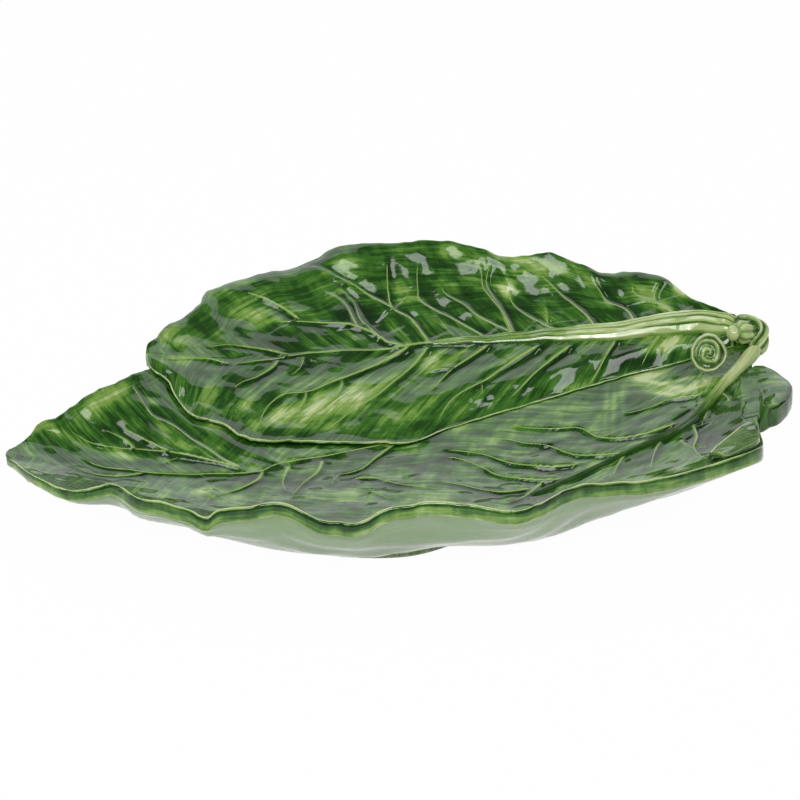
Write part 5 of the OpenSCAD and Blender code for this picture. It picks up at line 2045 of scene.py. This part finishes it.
class Platter:
    """The whole platter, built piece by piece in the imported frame; lengths in mm, and the half
    width and the rise of each stalk."""

    upper_stalk_size: Pair = (7.5, 7.0)
    lower_stalk_size: Pair = (4.75, 4.5)
    knuckle_off: float = 1.6
    crest_radius: float = 0.42
    crest_sink: float = 0.14
    shortest_crest: int = 8
    thinnest: float = 0.02

    def __init__(self) -> None:
        """Prepares the finishes and both leaves."""
        glaze = BrushedGlaze()
        self.rolls = RollTree()
        self.finishes = {
            Slot.GREEN: GlazeFinish("Green leaf glaze").material(glaze),
            Slot.PALE: GlazeFinish("Pale foot glaze").material(glaze),
            Slot.STALK: GlazeFinish(
                "Pale stalk glaze", deep=(0.02, 0.065, 0.010, 1), dark=(0.055, 0.14, 0.022, 1),
                green=(0.17, 0.30, 0.065, 1), light=(0.38, 0.49, 0.18, 1),
                pale=(0.55, 0.62, 0.32, 1), crest=(0.52, 0.61, 0.30, 1),
                under=(0.38, 0.58, 0.22, 1), streak=1.0).material(glaze),
        }
        upper, lower = (
            tuple(LeafPath(DISH.sized(shares)) for shares in three)
            for three in ((UPPER_MIDRIB, UPPER_FRONT, UPPER_BACK),
                          (LOWER_MIDRIB, LOWER_FRONT, LOWER_BACK)))
        self.upper = UpperLeaf(
            "upper_leaf_glazed", upper, np.array(UPPER_ROWS),
            Relief(UPPER_VEINS, UPPER_PATCHES, DISH.upper_lift),
            row_count=373, front_count=97, back_count=113,
            ruffles=(Ruffle(0.9, 0.45, 7.0, 41), Ruffle(1.2, 0.7, 11.0, 43)))
        self.lower = LowerLeaf(
            "lower_leaf_glazed", lower, np.array(LOWER_ROWS),
            Relief(LOWER_VEINS, LOWER_PATCHES, 0.0),
            row_count=405, front_count=141, back_count=49,
            ruffles=(Ruffle(0.7, 0.5, 9.0, 45), Ruffle(0.9, 0.6, 9.0, 47)),
            lap_line=upper[1].points[:, :2])
        self.lower_stalk_path = LeafPath(DISH.sized(LOWER_STALK))
        self.grounds: dict[str, BVHTree] = {}

    def dress(self, piece: bpy.types.Object, slot: Slot, *nodes: str) -> None:
        """Gives a piece its finish and ties it to the frame.

        Args:
            piece: The piece.
            slot: The record's material slot.
            *nodes: CAD nodes that it stands for.
        """
        if not piece.data.materials:
            piece.data.materials.append(self.finishes[slot])
        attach(piece, BODY)
        if nodes:
            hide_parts(*nodes)
        log.info("%s: %d faces", piece.name, len(piece.data.polygons))

    def lay(self, mesh: ClayMesh, name: str, slot: Slot, node: str) -> None:
        """Makes a piece of a mesh and dresses it in place of a CAD node."""
        self.dress(mesh.to_object(name), slot, node)

    def leaves(self) -> None:
        """Both leaves."""
        for leaf, node in ((self.lower, "lower_leaf"), (self.upper, "upper_leaf")):
            mesh = leaf.build()
            self.lay(mesh, leaf.name, Slot.GREEN, node)
            self.grounds[node] = tree_of(mesh)

    def roll(self, name: str, lines: Sequence[Array], sizes: Sequence[Array],
             radius: float, slot: Slot) -> None:
        """Sweeps rolls along lines, with the sizes as shares of the radius, and dresses them."""
        self.dress(self.rolls.sweep(name, lines, sizes, radius, self.finishes[slot]), slot)

    def vein_crests(self) -> None:
        """The thin pale crest of each vein."""
        step = 1.3
        for leaf, node in ((self.lower, "lower_leaf"), (self.upper, "upper_leaf")):
            lines, sizes = [], []
            for vein, track in zip(leaf.relief.veins, leaf.relief.lines):
                places = smooth_line(track, step)
                seen = [(x, y, drop(self.grounds[node], x, y)) for x, y in places]
                line = np.array([point for point in seen if point[2] is not None])
                if not vein.rise or len(line) < self.shortest_crest:
                    continue
                line[:, 2] = calmed(line[:, 2], 3) - self.crest_sink
                t = np.linspace(0.0, 1.0, len(line))
                waver = 0.92 + 0.12 * wavy(t * len(line) * step, 14.0, 91)
                lines.append(line)
                sizes.append(waver * mix(1.0, 0.6, t) * ease((1 - t) / 0.15)
                             * ease((t + 0.05) / 0.1) * min(vein.rise, 1.5) / 1.3 + self.thinnest)
            self.roll(node + "_vein_crests", lines, sizes, self.crest_radius, Slot.GREEN)

    def edge_rolls(self) -> None:
        """The thin pale roll along the free edges."""
        for name, leaf, whole, radius in (
                ("upper_leaf_edge_roll", self.upper, 0.93, 0.40),
                ("lower_leaf_edge_roll", self.lower, 1.0, 0.36)):
            line = leaf.edge_line[:int(len(leaf.edge_line) * whole)]
            size = (0.2 + 0.8 * line[:, 3]) * from_ends(len(line), 6.0)
            keep = line[:, 3] > 0.02
            self.roll(name, [line[keep, :3]], [size[keep] + self.thinnest], radius, Slot.STALK)

    def upper_stalk(self) -> None:
        """The broad stalk on the upper leaf, which grows out of its midrib."""
        shares = np.linspace(0.49, 1.0, 190)
        grow = np.clip((shares - 0.56) / 0.34, 0.0, 1.0) ** 1.4
        start = ease((shares - 0.47) / 0.10)
        narrow = ease((shares - 0.86) / 0.14)
        half, rise = self.upper_stalk_size
        halves = mix(0.30, 1.0, grow) * mix(1.0, 0.75, narrow) * half * mix(0.45, 1.0, start)
        rises = mix(0.26, 1.0, grow) * mix(1.0, 0.85, narrow) * rise * mix(0.35, 1.0, start)
        tones = mix(0.06, 0.42, ease((shares - 0.52) / 0.32))
        stalk = Stalk(self.upper.paths[0], shares, halves, rises, tones, DISH.upper_lift)
        self.lay(stalk.build(self.grounds["upper_leaf"]), "upper_stalk_glazed", Slot.STALK,
                 "upper_leaf_stalk")

    def lower_stalk(self) -> None:
        """The lower leaf's own stalk, which runs on as its strongest side rib."""
        shares = np.linspace(0.0, 1.0, 150)
        half, rise = self.lower_stalk_size
        halves = mix(1.0, 0.2, shares ** 0.6) * half
        rises = mix(1.0, 0.3, shares ** 0.6) * rise
        tones = mix(0.58, -0.40, ease((shares - 0.14) / 0.34))
        stalk = Stalk(self.lower_stalk_path, shares, halves, rises, tones, DISH.fit_gap,
                      flute=0.55)
        self.lay(stalk.build(self.grounds["lower_leaf"]), "lower_stalk_glazed", Slot.STALK,
                 "lower_leaf_stalk")

    def knuckle(self) -> None:
        """The bend between both stalks, and the bud with its stem beside it."""
        one, zero, off = np.array(1.0), np.array(0.0), self.knuckle_off
        start, end = self.upper.paths[0].at(one)[:2], self.lower_stalk_path.at(zero)[:2]
        way_in, way_out = self.upper.paths[0].heading(one), self.lower_stalk_path.heading(zero)
        start_z = (float(DISH.height(start)) + DISH.upper_lift + self.upper_stalk_size[1]
                   - Knuckle.radius)
        end_z = (float(DISH.height(end)) + DISH.fit_gap + self.lower_stalk_size[1]
                 - Knuckle.end_radius)
        knuckle = Knuckle(np.array([*(start + off * way_in), start_z]), np.array([*way_in, 0.0]),
                          np.array([*(end - off * way_out), end_z]), np.array([*way_out, 0.0]))
        self.lay(knuckle.build(), "knuckle_glazed", Slot.STALK, "stalk_knuckle")
        bud = Bud()
        self.lay(bud.build(), "bud_glazed", Slot.STALK, "bud")
        stem = smooth_line(np.array(bud.stem), 0.5)
        self.roll("bud_stem", [stem], [np.ones(len(stem))], bud.stem_radius, Slot.GREEN)

    def margin(self) -> None:
        """The curl, the lobe and the folded lip."""
        self.lay(Curl().build(), "curl_glazed", Slot.STALK, "stalk_curl")
        margin, ground = Margin(self.lower.paths[1], self.lower.relief), self.grounds["lower_leaf"]
        self.lay(margin.lobe(ground), "lobe_glazed", Slot.GREEN, "stalk_lobe")
        lip, line = margin.lip(ground)
        self.lay(lip, "lip_glazed", Slot.GREEN, "folded_lip")
        size = 0.3 + 0.7 * from_ends(len(line), 8.0)
        self.roll("lip_edge_roll", [line], [size], self.crest_radius, Slot.STALK)

    def build(self) -> None:
        """Builds every piece in order."""
        self.leaves()
        self.vein_crests()
        self.edge_rolls()
        self.upper_stalk()
        self.lower_stalk()
        self.knuckle()
        self.margin()
        self.lay(FootRing().build(), "foot_glazed", Slot.PALE, "foot_ring")


# --- The studio ---


@dataclass(frozen=True)
class Softbox:
    """An area lamp: where it stands, where it looks, its size in m and its power in W."""

    name: str
    place: Triple
    target: Triple
    size: Pair
    power: float

    def build(self) -> None:
        """Adds the lamp to the scene."""
        light = bpy.data.lights.new(self.name, "AREA")
        light.shape = "RECTANGLE"
        light.size, light.size_y = self.size
        light.energy = self.power
        lamp = placed(self.name, light)
        lamp.location = self.place
        look = Vector(self.target) - Vector(self.place)
        lamp.rotation_euler = look.to_track_quat("-Z", "Y").to_euler()
        lamp.visible_camera = False


@dataclass(frozen=True)
class Studio:
    """Pale floor, soft light and the camera at the photograph's angle."""

    floor_half: float = 6.0
    floor_colour: float = 0.86
    floor_glow: float = 0.98
    surround: float = 0.14
    boxes: tuple[Softbox, ...] = (
        Softbox("Overhead softbox", (-0.20, 0.10, 1.3), (0.0, 0.0, 0.0), (0.75, 0.25), 2.9),
        Softbox("Back panel", (0.0, 1.7, 0.95), (0.0, 0.0, 0.05), (3.0, 1.5), 15.0),
        Softbox("Left softbox", (-1.25, -0.35, 1.05), (0.0, 0.0, 0.03), (0.8, 0.8), 7.0),
        Softbox("Right softbox", (1.25, -0.35, 1.05), (0.0, 0.0, 0.03), (0.8, 0.8), 6.0),
        Softbox("Window", (0.05, -2.2, 1.3), (0.0, 0.0, 0.03), (1.1, 0.45), 19.0),
        Softbox("Side window", (-0.72, -2.0, 1.4), (0.13, 0.07, 0.05), (0.8, 0.4), 10.0),
    )

    def camera(self) -> None:
        """The long lens camera of the photograph's view."""
        data = bpy.data.cameras.new("Photo camera")
        data.lens, data.sensor_width = VIEW.lens, VIEW.sensor
        camera = placed("Photo camera", data)
        camera.location = (np.array(VIEW.look_at) + VIEW.back * VIEW.distance) * MM
        camera.rotation_euler = Vector(-VIEW.back).to_track_quat("-Z", "Y").to_euler()
        data.clip_start, data.clip_end = 0.1, 100.0
        bpy.context.scene.camera = camera

    def floor(self) -> None:
        """A white floor that keeps the platter's soft shadow."""
        h = self.floor_half
        mesh = bpy.data.meshes.new("Floor")
        mesh.from_pydata([(-h, -h, 0), (h, -h, 0), (h, h, 0), (-h, h, 0)], [], [(0, 1, 2, 3)])
        made = bpy.data.materials.new("White floor")
        made.use_nodes = True
        nodes = wired(made.node_tree, {
            "Principled BSDF": "Principled BSDF", "Material Output": "Material Output",
            "glow": "ShaderNodeEmission", "path": "ShaderNodeLightPath", "seen": "ShaderNodeMath",
            "seen too": "ShaderNodeMath", "share": "ShaderNodeMath",
            "both": "ShaderNodeMixShader"}, (
            ("path", "Is Camera Ray", "seen", 0), ("path", "Is Glossy Ray", "seen", 1),
            ("seen", 0, "seen too", 0), ("path", "Is Transmission Ray", "seen too", 1),
            ("seen too", 0, "share", 0), ("share", 0, "both", 0),
            ("Principled BSDF", 0, "both", 1), ("glow", 0, "both", 2),
            ("both", 0, "Material Output", "Surface")))
        paint = nodes["Principled BSDF"]
        paint.inputs["Base Color"].default_value = (*(self.floor_colour,) * 3, 1)
        paint.inputs["Roughness"].default_value = 0.9
        nodes["seen"].operation = nodes["seen too"].operation = "MAXIMUM"
        nodes["share"].operation = "MULTIPLY"
        nodes["share"].inputs[1].default_value = self.floor_glow
        mesh.materials.append(made)
        floor = placed("Floor", mesh)

    def world(self) -> None:
        """A dim, even surround, so that the glaze keeps its dark greens."""
        world = bpy.data.worlds.new("Dim surround")
        world.use_nodes = True
        world.node_tree.nodes["Background"].inputs["Color"].default_value = (
            *(self.surround,) * 3, 1)
        bpy.context.scene.world = world

    def build(self) -> None:
        """Sets the whole studio."""
        self.camera()
        self.floor()
        self.world()
        for box in self.boxes:
            box.build()
        bpy.context.scene.view_settings.view_transform = "Standard"


def main() -> None:
    """Builds the studio and the platter."""
    logging.basicConfig(level=logging.INFO, format="%(name)s: %(message)s")
    Studio().build()
    Platter().build()


if __name__ == "__main__":
    main()
